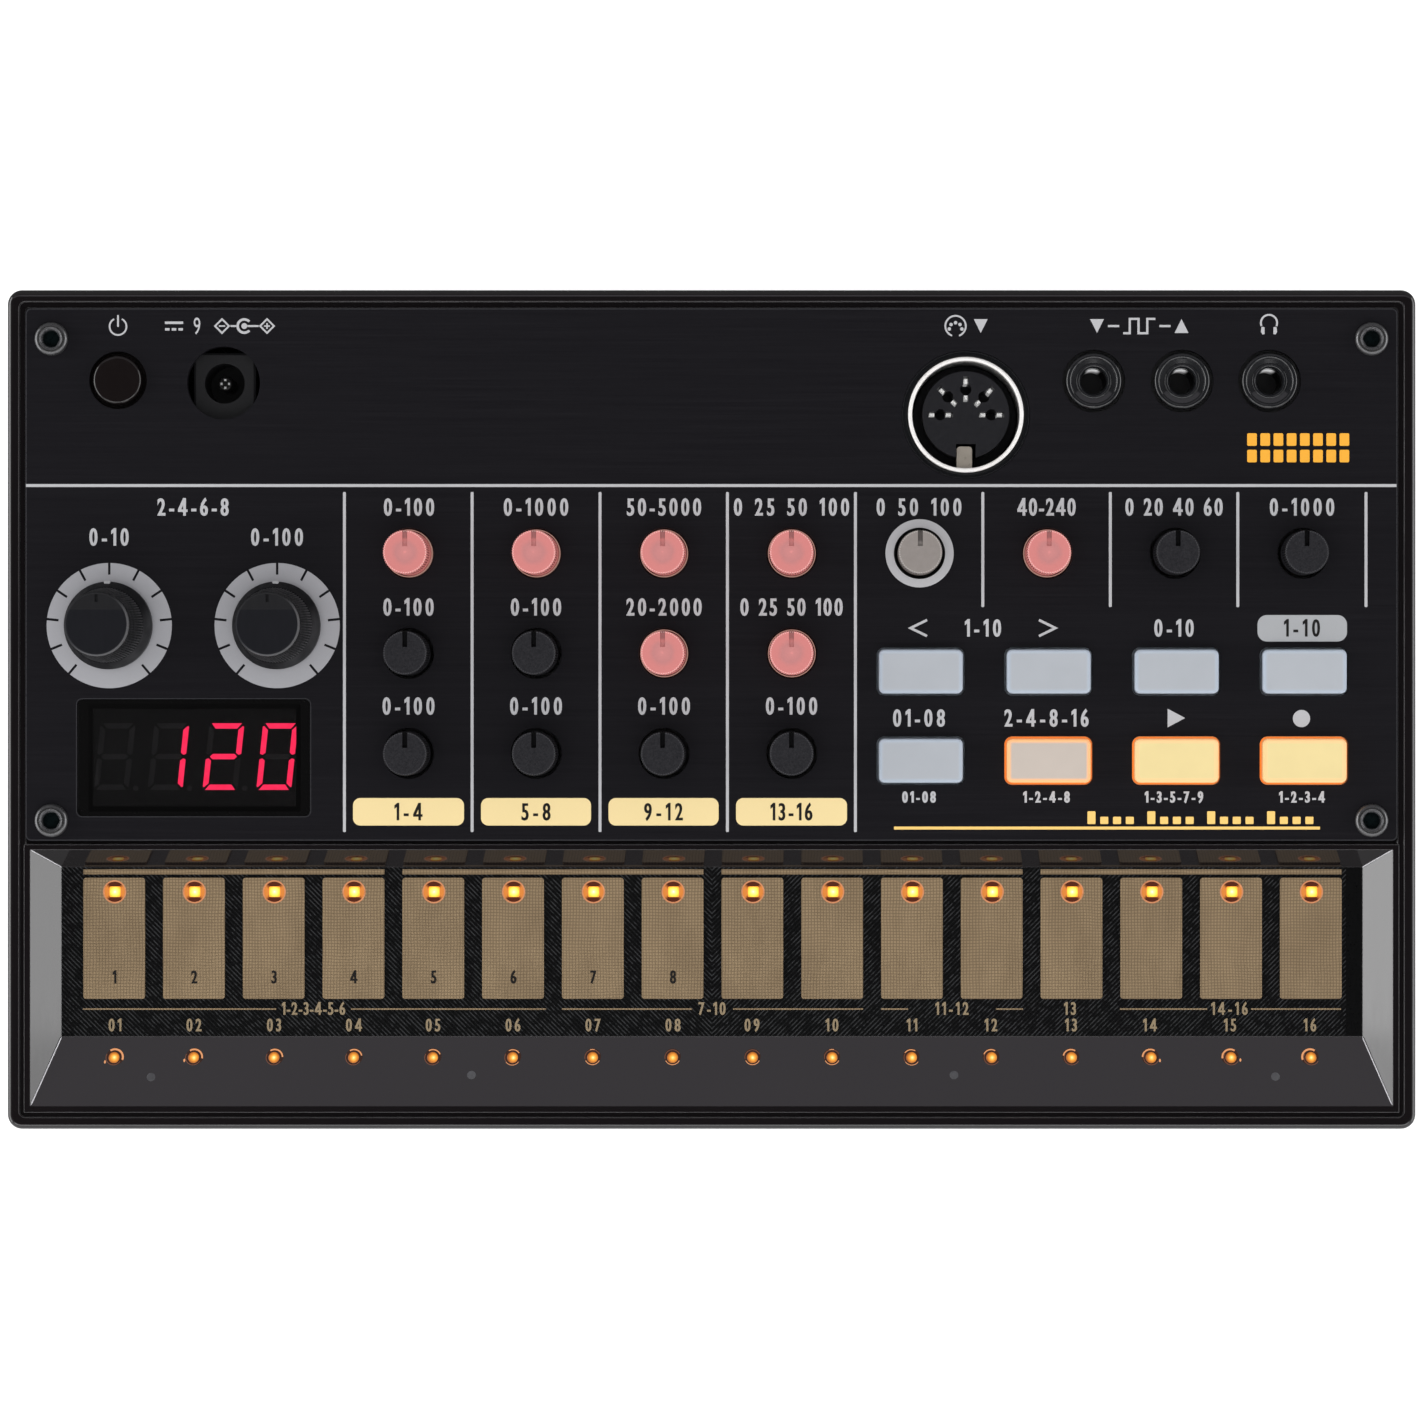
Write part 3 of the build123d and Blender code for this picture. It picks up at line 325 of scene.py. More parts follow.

# barrel plug's centre pin: dark, with painted glints on its four leaves
m = Mat("split_pin", Metallic=0.8, Specular_IOR_Level=0.5)
x, y, z = m.xyz(m.scaled())
ax_ = m.math("ABSOLUTE", m.math("ADD", x, 66.85))
ay_ = m.math("ABSOLUTE", m.math("ADD", y, -44.74))
far = m.math("MAXIMUM", ax_, ay_)
near = m.math("MINIMUM", ax_, ay_)
tip = m.math("MULTIPLY", m.math("LESS_THAN", near, 0.16), m.math("LESS_THAN", m.math("ABSOLUTE", m.math("SUBTRACT", far, 0.52)), 0.14))
n = m.noise(m.scaled(), 1.0 / 0.3, 3.0, 0.6)
m.set("Base Color", m.mix(tip, m.mix(n, (0.015, 0.015, 0.016), (0.035, 0.034, 0.033)), (0.95, 0.95, 0.95)))
m.set("Roughness", m.range(n, 0.3, 0.7, 0.25, 0.4))
MATS["split_pin"] = m

# display block: face a shade darker than its frame
m = Mat("display_block", Specular_IOR_Level=0.3)
x, y, z = m.xyz(m.scaled())
n = m.noise(m.scaled(), 1.0 / 0.5, 3.0, 0.6)
edge_x = m.math("ABSOLUTE", m.math("ADD", x, 70.95))
edge_y = m.math("ABSOLUTE", m.math("ADD", y, 6.6))
face = m.math("MULTIPLY", m.math("LESS_THAN", edge_x, 13.96), m.math("LESS_THAN", edge_y, 6.71))
m.set("Base Color", m.mix(face, (0.0040, 0.0040, 0.0040), m.mix(n, (0.0042, 0.0042, 0.0042), (0.0056, 0.0056, 0.0056))))
m.set("Roughness", m.range(n, 0.3, 0.7, 0.5, 0.7))
m.bump(n, 0.004)
MATS["display_grey"] = m
MATS["flex"] = glossy("flex_tape", (0.35, 0.14, 0.04), 0.3)
MATS["speaker_steel"] = glossy("speaker_steel", (0.42, 0.42, 0.43), 0.35, 0.0, 1.0)

m = Mat("cell_jacket", Metallic=0.3, Specular_IOR_Level=0.5)
mx, my, mz = m.xyz(m.scaled())
band = m.math("GREATER_THAN", m.math("PINGPONG", m.math("ADD", mx, 87.6), 51.0), 34.0)
n = m.noise(m.scaled(), 1.0 / 3.0, 3.0, 0.6)
m.set("Base Color", m.mix(band, m.mix(n, (0.030, 0.030, 0.034), (0.045, 0.045, 0.05)), (0.42, 0.25, 0.12)))
m.set("Roughness", m.range(n, 0.3, 0.7, 0.22, 0.34))
MATS["cell_jacket"] = m

# solder mask over hatched ground copper: the lines are the copper's own tone with painted sheen, drawn in one direction
# on each half where the light catches them
def hatch(name, base, raised):
    m = Mat(name, Specular_IOR_Level=0.15)
    vec = m.scaled()
    x, y, z = m.xyz(vec)
    side = m.math("GREATER_THAN", x, 0.0)
    sign = m.math("MULTIPLY_ADD", side, 2.0, -1.0)
    u = m.math("ADD", y, m.math("MULTIPLY", x, m.math("MULTIPLY", sign, -1.0)))
    stripe = m.math("PINGPONG", m.math("MULTIPLY", u, 1.0 / 0.33), 1.0)
    line = m.range(stripe, 0.50, 0.95, 0.0, 0.70, True)
    brk = m.noise(m.scaled(), 1.0 / 0.9, 2.0, 0.6)
    line = m.math("MULTIPLY", line, m.range(brk, 0.40, 0.60, 0.15, 1.0, True))
    line = m.math("MULTIPLY", line, m.math("LESS_THAN", x, 87.2))
    n = m.noise(m.scaled(), 1.0 / 0.3, 3.0, 0.6)
    m.set("Base Color", m.mix(line, m.mix(n, tuple(c * 0.75 for c in base), tuple(c * 1.25 for c in base)), raised))
    m.set("Roughness", m.range(n, 0.3, 0.7, 0.26, 0.38))
    m.bump(line, 0.03)
    return m


MATS["circuit_board"] = hatch("solder_mask_black", (0.0030, 0.0031, 0.0033), (0.050, 0.052, 0.055))

# gold-plated pads under a fine mesh
m = Mat("pad_gold_mesh", Metallic=0.35, Specular_IOR_Level=0.5)
x, y, z = m.xyz(m.scaled())
wob = m.noise(m.scaled(), 1.0 / 6.0, 2.0, 0.5)
gx = m.math("PINGPONG", m.math("MULTIPLY", m.math("ADD", x, m.math("MULTIPLY", wob, 0.5)), 1 / 0.21), 1.0)
gy = m.math("PINGPONG", m.math("MULTIPLY", m.math("ADD", y, m.math("MULTIPLY", wob, 0.5)), 1 / 0.21), 1.0)
weave = m.math("MULTIPLY", m.range(gx, 0.05, 0.55, 0.0, 1.0, True), m.range(gy, 0.05, 0.55, 0.0, 1.0, True))
cloud = m.noise(m.scaled(4.0, 9.0, 4.0), 1.0, 3.0, 0.6)
gold = m.mix(m.range(cloud, 0.35, 0.65, 0.0, 1.0), (0.325, 0.229, 0.128), (0.363, 0.258, 0.144))
m.set("Base Color", m.mix(m.math("MULTIPLY", m.math("SUBTRACT", 1.0, weave), 0.55), gold, (0.10, 0.068, 0.038)))
m.set("Roughness", m.range(cloud, 0.3, 0.7, 0.42, 0.55))
m.bump(weave, 0.01)
MATS["pad_gold"] = m
# copper rings round the step lamps, with a painted glow of the lamps' light
m = Mat("copper_ring_painted_glow", Metallic=0.5, Specular_IOR_Level=0.5, Emission_Strength=0.35)
n = m.noise(m.scaled(), 1.0 / 0.8, 3.0, 0.6)
m.set("Base Color", m.mix(n, (0.50, 0.20, 0.09), (0.72, 0.34, 0.18)))
m.set("Emission Color", m.mix(n, (0.72, 0.22, 0.07), (0.85, 0.33, 0.14)))
m.set("Roughness", m.range(n, 0.3, 0.7, 0.25, 0.4))
MATS["copper"] = m

# small and large knobs
PX, PY = 17.5, 13.7


def knob_frame(m):
    """Position relative to the axis of the small knob that the point belongs to, in mm."""
    x, y, z = m.xyz(m.scaled())
    lx = m.math("SUBTRACT", m.math("WRAP", m.math("ADD", x, 41.5 + PX / 2), PX, 0.0), PX / 2)
    ly = m.math("SUBTRACT", m.math("WRAP", m.math("ADD", y, 6.0 + PY / 2), PY, 0.0), PY / 2)
    r = m.math("SQRT", m.math("ADD", m.math("MULTIPLY", lx, lx), m.math("MULTIPLY", ly, ly)))
    return lx, ly, z, r


def knob_shade_masks(m, lx, ly, z, r):
    """Two masks for painted shade: the bottoms of the side flutes, and the pointer groove near the back edge."""
    low = m.math("LESS_THAN", z, 39.15)
    flute = m.math("MULTIPLY", m.range(r, 2.88, 2.985, 1.0, 0.0, True), m.math("MULTIPLY", low, m.math("GREATER_THAN", r, 2.7)))
    groove = m.math("MULTIPLY", m.math("LESS_THAN", z, 39.1), m.math("MULTIPLY", m.math("GREATER_THAN", z, 38.7), m.math("LESS_THAN", m.math("ABSOLUTE", lx), 0.34)))
    return flute, groove


def knob_tip_highlights(m, lx, ly, z, r):
    """Mask for painted highlights on the tips of the 54 flutes, round the edge of the top."""
    turn = m.math("ARCTAN2", ly, lx)
    ridge = m.range(m.math("PINGPONG", m.math("MULTIPLY", turn, 54.0 / math.pi), 1.0), 0.35, 0.75, 1.0, 0.0, True)
    band = m.math("MULTIPLY", m.range(r, 2.70, 2.80, 0.0, 1.0, True), m.range(z, 38.2, 38.6, 0.0, 1.0, True))
    return m.math("MULTIPLY", ridge, band)


# red knob glowing with the lamp beneath it: the paler middle and rim and the glow fading toward the panel are painted
# light; painted shade in the flute bottoms and groove, painted highlights on the flute tips
m = Mat("knob_red_lit", Specular_IOR_Level=0.4, Emission_Strength=0.42)
lx, ly, z, r = knob_frame(m)
flute, groove = knob_shade_masks(m, lx, ly, z, r)
cloud = m.noise(m.scaled(), 1.0 / 0.9, 4.0, 0.65)
fine = m.noise(m.scaled(), 1.0 / 0.25, 3.0, 0.6)
rr = m.math("ADD", r, m.math("MULTIPLY", m.math("SUBTRACT", cloud, 0.5), 0.7))
base = m.ramp(m.math("DIVIDE", rr, 3.2), [(0.0, (0.52, 0.18, 0.17)), (0.08, (0.42, 0.148, 0.142)), (0.40, (0.37, 0.134, 0.131)), (0.60, (0.44, 0.136, 0.128)), (0.90, (0.46, 0.136, 0.129)), (1.0, (0.56, 0.22, 0.21))])
shade = m.math("MULTIPLY", groove, m.range(ly, 1.6, 2.1, 0.0, 0.62, True))
base = m.mix(shade, base, (0.13, 0.055, 0.055))
base = m.mix(m.math("MULTIPLY", flute, 0.75), base, (0.08, 0.012, 0.012))
base = m.mix(m.math("MULTIPLY", knob_tip_highlights(m, lx, ly, z, r), 0.48), base, (0.90, 0.56, 0.52))
inside = m.range(z, 33.5, 38.8, 0.55, 1.0, True)
m.set("Base Color", m.mix(m.math("MULTIPLY", fine, 0.12), base, (0.75, 0.42, 0.40)))
m.set("Emission Color", m.mix(inside, (0.18, 0.03, 0.02), base))
m.set("Roughness", m.range(fine, 0.3, 0.7, 0.38, 0.52))
m.bump(fine, 0.01)
MATS["knob_red"] = m

# unlit knob: painted shade in the flute bottoms and pointer groove, painted highlights on the flute tips
m = Mat("knob_clear_off", Specular_IOR_Level=0.4)
lx, ly, z, r = knob_frame(m)
flute, groove = knob_shade_masks(m, lx, ly, z, r)
cloud = m.noise(m.scaled(), 1.0 / 0.8, 4.0, 0.65)
base = m.mix(cloud, (0.215, 0.190, 0.175), (0.285, 0.255, 0.238))
base = m.mix(m.math("MULTIPLY", groove, m.range(ly, 1.2, 1.7, 0.0, 0.8, True)), base, (0.08, 0.065, 0.06))
base = m.mix(m.math("MULTIPLY", knob_tip_highlights(m, lx, ly, z, r), 0.7), base, (0.52, 0.49, 0.46))
m.set("Base Color", m.mix(m.math("MULTIPLY", flute, 0.7), base, (0.03, 0.025, 0.022)))
m.set("Roughness", m.range(cloud, 0.3, 0.7, 0.4, 0.52))
m.bump(cloud, 0.02)
MATS["knob_clear"] = m

# black knob: painted shade in the flute bottoms and pointer groove, painted highlights on the flute tips
m = Mat("knob_black_satin", Specular_IOR_Level=0.22)
lx, ly, z, r = knob_frame(m)
flute, groove = knob_shade_masks(m, lx, ly, z, r)
fine = m.noise(m.scaled(), 1.0 / 0.22, 4.0, 0.65)
base = m.mix(m.range(fine, 0.3, 0.7, 0.0, 1.0), (0.0095, 0.0095, 0.0118), (0.024, 0.0235, 0.0275))
base = m.mix(m.math("MULTIPLY", knob_tip_highlights(m, lx, ly, z, r), 0.8), base, (0.060, 0.060, 0.066))
base = m.mix(groove, base, (0.0015, 0.0015, 0.002))
m.set("Base Color", m.mix(m.math("MULTIPLY", flute, 0.8), base, (0.002, 0.002, 0.002)))
m.set("Roughness", m.range(fine, 0.3, 0.7, 0.36, 0.5))
m.bump(fine, 0.016)
MATS["knob_black"] = m

# large dials: brushed crown with a painted highlight round its edge and a painted reflection making its back facet
# paler, finely fluted grip with painted highlights low on the flutes, dark skirt with a painted highlight toward one
# side
m = Mat("dial_black_satin", Specular_IOR_Level=0.05)
x, y, z = m.xyz(m.scaled())
lx = m.math("SUBTRACT", m.math("WRAP", m.math("ADD", x, 82.5 + 11.5), 23.0, 0.0), 11.5)
ly = m.math("SUBTRACT", y, 11.5)
r = m.math("SQRT", m.math("ADD", m.math("MULTIPLY", lx, lx), m.math("MULTIPLY", ly, ly)))
turn = m.math("ARCTAN2", ly, lx)
ridge = m.range(m.math("PINGPONG", m.math("MULTIPLY", turn, 84.0 / math.pi), 1.0), 0.45, 0.8, 0.0, 1.0, True)
n = m.noise(m.scaled(0.5, 4.0, 1.0), 1.0, 3.0, 0.6)
slow = m.noise(m.scaled(), 1.0 / 2.2, 2.0, 0.5)
# the crown is paler behind ly 1.95: painted reflection on the back facet
crown = m.mix(m.math("GREATER_THAN", ly, 1.95), m.mix(n, (0.0095, 0.0098, 0.0122), (0.0120, 0.0124, 0.0152)), m.mix(n, (0.0150, 0.0150, 0.0165), (0.0182, 0.0182, 0.0198)))
# painted highlight round the crown's edge, stronger toward one side
lip = m.math("MULTIPLY", m.range(r, 4.02, 4.20, 0.0, 1.0, True), m.range(m.math("SUBTRACT", lx, ly), -2.0, 3.5, 0.12, 1.0, True))
crown = m.mix(lip, crown, (0.105, 0.105, 0.110))
glint = m.range(z, 36.6, 40.5, 1.0, 0.16, True)
grip = m.mix(m.math("MULTIPLY", ridge, glint), (0.0048, 0.0048, 0.0056), (0.085, 0.085, 0.090))
# painted highlight on one side of the skirt
skirt_highlight = m.range(m.math("SUBTRACT", lx, m.math("MULTIPLY", ly, 0.6)), 3.0, 5.6, 0.0, 1.0, True)
skirt = m.mix(m.math("MULTIPLY", skirt_highlight, slow), (0.0075, 0.0075, 0.0085), (0.060, 0.060, 0.064))
body_ = m.mix(m.math("GREATER_THAN", z, 36.42), skirt, grip)
m.set("Base Color", m.mix(m.math("GREATER_THAN", z, 45.1), body_, crown))
m.set("Roughness", m.range(n, 0.3, 0.7, 0.34, 0.5))
m.bump(n, 0.003, 1.0, 0.05)
MATS["dial_black"] = m

# push buttons: pitch of 17.5 by 12.2
BX, BY = 17.5, 12.2


# rim is the colour near each button's edge: a painted highlight on the grey buttons, and on lit buttons the painted
# glow of their lamps
def button(name, body, rim, emission=0.0, glow=None):
    m = Mat(name, Specular_IOR_Level=0.4, Emission_Strength=emission)
    x, y, z = m.xyz(m.scaled())
    lx = m.math("ABSOLUTE", m.math("SUBTRACT", m.math("WRAP", m.math("ADD", x, -28.65 + BX / 2), BX, 0.0), BX / 2))
    ly = m.math("ABSOLUTE", m.math("SUBTRACT", m.math("WRAP", m.math("ADD", y, 7.0 + BY / 2), BY, 0.0), BY / 2))
    ex = m.math("SUBTRACT", 5.74, lx)
    ey = m.math("SUBTRACT", 3.02, ly)
    edge = m.math("SMOOTH_MIN", ex, ey, 0.5)
    fine = m.noise(m.scaled(), 1.0 / 0.3, 4.0, 0.6)
    slow = m.noise(m.scaled(), 1.0 / 4.0, 2.0, 0.5)
    inner = m.range(edge, 0.25, 0.75, 0.0, 1.0, True)
    c = m.mix(inner, rim, m.mix(slow, tuple(v * 0.95 for v in body), tuple(min(1, v * 1.05) for v in body)))
    m.set("Base Color", c)
    if glow:
        m.set("Emission Color", m.mix(inner, glow, c))
    m.set("Roughness", m.range(fine, 0.3, 0.7, 0.42, 0.56))
    m.bump(fine, 0.006)
    return m


MATS["button_grey"] = button("button_grey_soft", (0.415, 0.440, 0.475), (0.43, 0.49, 0.57))
MATS["button_warm"] = button("button_warm_lit", (0.435, 0.380, 0.335), (0.84, 0.44, 0.20), 0.30, (0.95, 0.38, 0.12))
MATS["button_lit"] = button("button_yellow_lit", (0.665, 0.540, 0.255), (0.84, 0.52, 0.25), 0.28, (1.0, 0.48, 0.17))
MATS["power_black"] = glossy("power_black_gloss", (0.0075, 0.0055, 0.0055), 0.12, 0.3)

# smoked display window, with a faint painted glow
m = Mat("window_smoked", Roughness=0.04, IOR=1.46, Specular_IOR_Level=0.5, Transmission_Weight=1.0, Emission_Strength=0.0022)
n = m.noise(m.scaled(), 1.0 / 9.0, 2.0, 0.5)
m.set("Base Color", m.mix(n, (0.60, 0.59, 0.60), (0.65, 0.64, 0.65)))
m.set("Emission Color", m.mix(n, (0.92, 0.90, 0.92), (1.0, 0.98, 1.0)))
MATS["smoked_lens"] = m


def lamp(name, color, strength, core=None):
    m = Mat(name, Emission_Strength=strength, Specular_IOR_Level=0.4)
    n = m.noise(m.scaled(), 1.0 / 0.4, 3.0, 0.6)
    m.set("Base Color", tuple(c * 0.5 for c in color))
    m.set("Emission Color", m.mix(n, tuple(c * 0.85 for c in color), core or color))
    m.set("Roughness", m.range(n, 0.3, 0.7, 0.2, 0.35))
    return m


def spot(name, cx, cy, pitch, stops, strength, z_from=None):
    """Round lamp that is brightest in the middle, repeated along X."""
    m = Mat(name, Emission_Strength=strength, Specular_IOR_Level=0.4, Roughness=0.3)
    x, y, z = m.xyz(m.scaled())
    lx = m.math("SUBTRACT", m.math("WRAP", m.math("ADD", x, -cx + pitch / 2), pitch, 0.0), pitch / 2)
    ly = m.math("SUBTRACT", y, cy)
    n = m.noise(m.scaled(), 1.0 / 0.5, 3.0, 0.6)
    r = m.math("SQRT", m.math("ADD", m.math("MULTIPLY", lx, lx), m.math("MULTIPLY", ly, ly)))
    r = m.math("ADD", r, m.math("MULTIPLY", m.math("SUBTRACT", n, 0.5), 0.25))
    c = m.ramp(r, stops)
    m.set("Base Color", m.mix(0.7, c, (0.02, 0.01, 0.005)))
    m.set("Emission Color", c)
    return m


# ---------------------------------------------------------------- carried-over CAD nodes
record = frame["record"]
slot_of = {s["node"]: s["material_slot"] for s in record["subparts"]}
FINISH = {
    "midi_insert": "insert_plastic", "dc_jack": "dc_plastic", "step_led_rings": "copper",
    "touch_pads": "pad_gold", "main_board": "circuit_board", "touch_board": "circuit_board",
    "dc_jack_pin": "split_pin",
}
# wells of the step lamps: orange to the sides of the chip, deep brown behind and in front of it
m = Mat("step_led_well", Emission_Strength=0.85, Specular_IOR_Level=0.4, Roughness=0.3)
x, y, z = m.xyz(m.scaled())
lx = m.math("ABSOLUTE", m.math("SUBTRACT", m.math("WRAP", m.math("ADD", x, 82.14 + 5.486), 10.972, 0.0), 5.486))
ly = m.math("ABSOLUTE", m.math("ADD", y, 25.06))
n = m.noise(m.scaled(), 1.0 / 0.4, 3.0, 0.6)
side = m.range(m.math("ADD", m.math("SUBTRACT", lx, ly), m.math("MULTIPLY", m.math("SUBTRACT", n, 0.5), 0.4)), -0.25, 0.55, 0.0, 1.0, True)
c = m.mix(side, (0.070, 0.010, 0.003), (0.70, 0.22, 0.030))
m.set("Base Color", m.mix(0.7, c, (0.02, 0.01, 0.005)))
m.set("Emission Color", c)
MATS["led_well"] = m
FINISH["step_leds"] = "led_well"
MATS["lamp"] = lamp("lamp_amber", (1.0, 0.55, 0.15), 1.5)


def paint(o, key):
    mat = MATS[key].m
    if not o.data.materials:
        o.data.materials.append(mat)
    for s in o.material_slots:
        s.material = mat


for name, o in frame["nodes"].items():
    slot = slot_of[name]
    paint(o, FINISH.get(name, slot if slot in MATS else "part_plastic"))


# ---------------------------------------------------------------- mesh helpers
def new_object(name, mesh, key, body="housing"):
    o = bpy.data.objects.new(name, mesh)
    bpy.context.scene.collection.objects.link(o)
    o.data.materials.clear()
    o.data.materials.append(MATS[key].m)
    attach(o, body)
    return o


def clean(mesh, angle=None):
    bm = bmesh.new()
    bm.from_mesh(mesh)
    bmesh.ops.remove_doubles(bm, verts=bm.verts, dist=2e-7)
    bmesh.ops.recalc_face_normals(bm, faces=bm.faces)
    if angle is not None:
        for f in bm.faces:
            f.smooth = True
        for e in bm.edges:
            if len(e.link_faces) == 2 and e.calc_face_angle(0) > math.radians(angle):
                e.smooth = False
    bm.to_mesh(mesh)
    bm.free()
    return mesh


def flat(name, loops, z, thick, key, body="housing", bold=0.0, sink=0.01, matrix=None, across=1.0):
    """A thin printed or laid-on layer: closed 2D loops in mm (holes by nesting), raised by thick above z.
    bold grows the outlines, and across times as much in X as in Y."""
    cu = bpy.data.curves.new(name + "_c", "CURVE")
    cu.dimensions = "2D"
    cu.fill_mode = "BOTH"
    cu.extrude = (thick + sink) / 2 * MM
    cu.offset = bold * MM
    for pts in loops:
        s = cu.splines.new("POLY")
        s.points.add(len(pts) - 1)
        for p, (x, y) in zip(s.points, pts):
            p.co = (x / across * MM, y * MM, 0, 1)
        s.use_cyclic_u = True
    tmp = bpy.data.objects.new(name + "_t", cu)
    bpy.context.scene.collection.objects.link(tmp)
    bpy.context.view_layer.update()
    dg = bpy.context.evaluated_depsgraph_get()
    mesh = bpy.data.meshes.new_from_object(tmp.evaluated_get(dg), depsgraph=dg)
    mesh.name = name
    bpy.data.objects.remove(tmp)
    bpy.data.curves.remove(cu)
    mesh.transform(Matrix.Diagonal((across, 1, 1, 1)))
    mesh.transform(Matrix.Translation((0, 0, (z + (thick - sink) / 2) * MM)))
    if matrix is not None:
        mesh.transform(matrix)
    clean(mesh)
    return new_object(name, mesh, key, body)


def rect(x0, y0, x1, y1):
    return [(x0, y0), (x1, y0), (x1, y1), (x0, y1)]


def rrect(x0, y0, x1, y1, r, n=6):
    pts = []
    for cx, cy, a in ((x1 - r, y0 + r, -90), (x1 - r, y1 - r, 0), (x0 + r, y1 - r, 90), (x0 + r, y0 + r, 180)):
        for i in range(n + 1):
            t = math.radians(a + 90 * i / n)
            pts.append((cx + r * math.cos(t), cy + r * math.sin(t)))
    return pts


def circle(cx, cy, r, n=64, a0=0.0):
    return [(cx + r * math.cos(a0 + 2 * math.pi * i / n), cy + r * math.sin(a0 + 2 * math.pi * i / n)) for i in range(n)]


def arc_band(cx, cy, r0, r1, a0, a1, n=48):
    """Part of a ring, from angle a0 to a1 in degrees."""
    outer = [(cx + r1 * math.cos(math.radians(a0 + (a1 - a0) * i / n)), cy + r1 * math.sin(math.radians(a0 + (a1 - a0) * i / n))) for i in range(n + 1)]
    inner = [(cx + r0 * math.cos(math.radians(a0 + (a1 - a0) * i / n)), cy + r0 * math.sin(math.radians(a0 + (a1 - a0) * i / n))) for i in range(n, -1, -1)]
    return outer + inner


def stroke(x0, y0, x1, y1, w):
    dx, dy = x1 - x0, y1 - y0
    l = math.hypot(dx, dy)
    nx, ny = -dy / l * w / 2, dx / l * w / 2
    return [(x0 + nx, y0 + ny), (x0 - nx, y0 - ny), (x1 - nx, y1 - ny), (x1 + nx, y1 + ny)]


def bent(pts, w):
    """A mitred line of constant width through the points."""
    left, right = [], []
    for i, p in enumerate(pts):
        a = Vector(pts[max(i - 1, 0)])
        b = Vector(p)
        c = Vector(pts[min(i + 1, len(pts) - 1)])
        d1 = (b - a).normalized() if i else (c - b).normalized()
        d2 = (c - b).normalized() if i < len(pts) - 1 else d1
        n1, n2 = Vector((-d1.y, d1.x)), Vector((-d2.y, d2.x))
        m_ = (n1 + n2).normalized()
        k = (w / 2) / max(0.3, m_.dot(n1))
        left.append((b.x + m_.x * k, b.y + m_.y * k))
        right.append((b.x - m_.x * k, b.y - m_.y * k))
    return left + right[::-1]


_glyphs = {}
DRAWN = {
    "1": [[(0.145, 0.0), (0.235, 0.0), (0.235, 0.70), (0.165, 0.70), (0.0, 0.60), (0.0, 0.50), (0.145, 0.575)]],
    "4": [[(0.335, 0.0), (0.425, 0.0), (0.425, 0.15), (0.53, 0.15), (0.53, 0.235), (0.425, 0.235), (0.425, 0.70), (0.325, 0.70), (0.0, 0.245), (0.0, 0.15), (0.335, 0.15)],
          [(0.335, 0.235), (0.335, 0.545), (0.115, 0.235)]],
}


def glyph(ch):
    """Outlines of one character, its left edge and its width, in font units."""
    if ch in _glyphs:
        return _glyphs[ch]
    if ch in DRAWN:
        loops = DRAWN[ch]
        xs = [x for l in loops for x, y in l]
        _glyphs[ch] = (loops, min(xs), max(xs) - min(xs))
        return _glyphs[ch]
    cu = bpy.data.curves.new("glyph", "FONT")
    cu.body = ch
    cu.size = 1.0
    o = bpy.data.objects.new("glyph", cu)
    bpy.context.scene.collection.objects.link(o)
    bpy.ops.object.select_all(action="DESELECT")
    o.select_set(True)
    bpy.context.view_layer.objects.active = o
    bpy.ops.object.convert(target="CURVE")
    o = bpy.context.view_layer.objects.active
    loops = []
    for s in o.data.splines:
        if s.type == "BEZIER":
            bp = s.bezier_points
            pts = []
            for i in range(len(bp)):
                a, b = bp[i], bp[(i + 1) % len(bp)]
                seg = geometry.interpolate_bezier(a.co, a.handle_right, b.handle_left, b.co, 5)
                pts += [(p.x, p.y) for p in seg[:-1]]
        else:
            pts = [(p.co.x, p.co.y) for p in s.points]
        kept = [p for i, p in enumerate(pts) if math.dist(p, pts[i - 1]) > 1e-4]
        loops.append(kept)
    data = o.data
    bpy.data.objects.remove(o)
    bpy.data.curves.remove(data)
    xs = [x for l in loops for x, y in l]
    _glyphs[ch] = (loops, min(xs), max(xs) - min(xs))
    return _glyphs[ch]


DIGIT_H = max(y for l in glyph("0")[0] for x, y in l) - min(y for l in glyph("0")[0] for x, y in l)
DIGIT_Y = min(y for l in glyph("0")[0] for x, y in l)


def text(s, cx, cy, height, width=None, squeeze=0.64, space=0.17, gap=0.20):
    """Condensed characters centred at (cx, cy), in mm. width spreads them over that much."""
    k = height / DIGIT_H
    kx = k * squeeze
    items = []
    for ch in s:
        if ch == " ":
            items.append(None)
        else:
            loops, x0, w = glyph(ch)
            items.append((loops, x0, w))
    step = space * height
    total = sum((gap * height if it is None else it[2] * kx) for it in items) + step * (len(items) - 1)
    if width and len(items) > 1:
        step += max(-0.03 * height, min(0.16 * height, (width - total) / (len(items) - 1)))
        total = sum((gap * height if it is None else it[2] * kx) for it in items) + step * (len(items) - 1)
    x = cx - total / 2
    y = cy - height / 2 - DIGIT_Y * k
    out = []
    for it in items:
        if it is None:
            x += gap * height + step
            continue
        loops, x0, w = it
        for l in loops:
            out.append([(x + (px_ - x0) * kx, y + py_ * k) for px_, py_ in l])
        x += w * kx + step
    return out


def dash(cx, cy, w, t):
    return rect(cx - w / 2, cy - t / 2, cx + w / 2, cy + t / 2)


# ---------------------------------------------------------------- print on the panel
INK_T = 0.03
lines = []
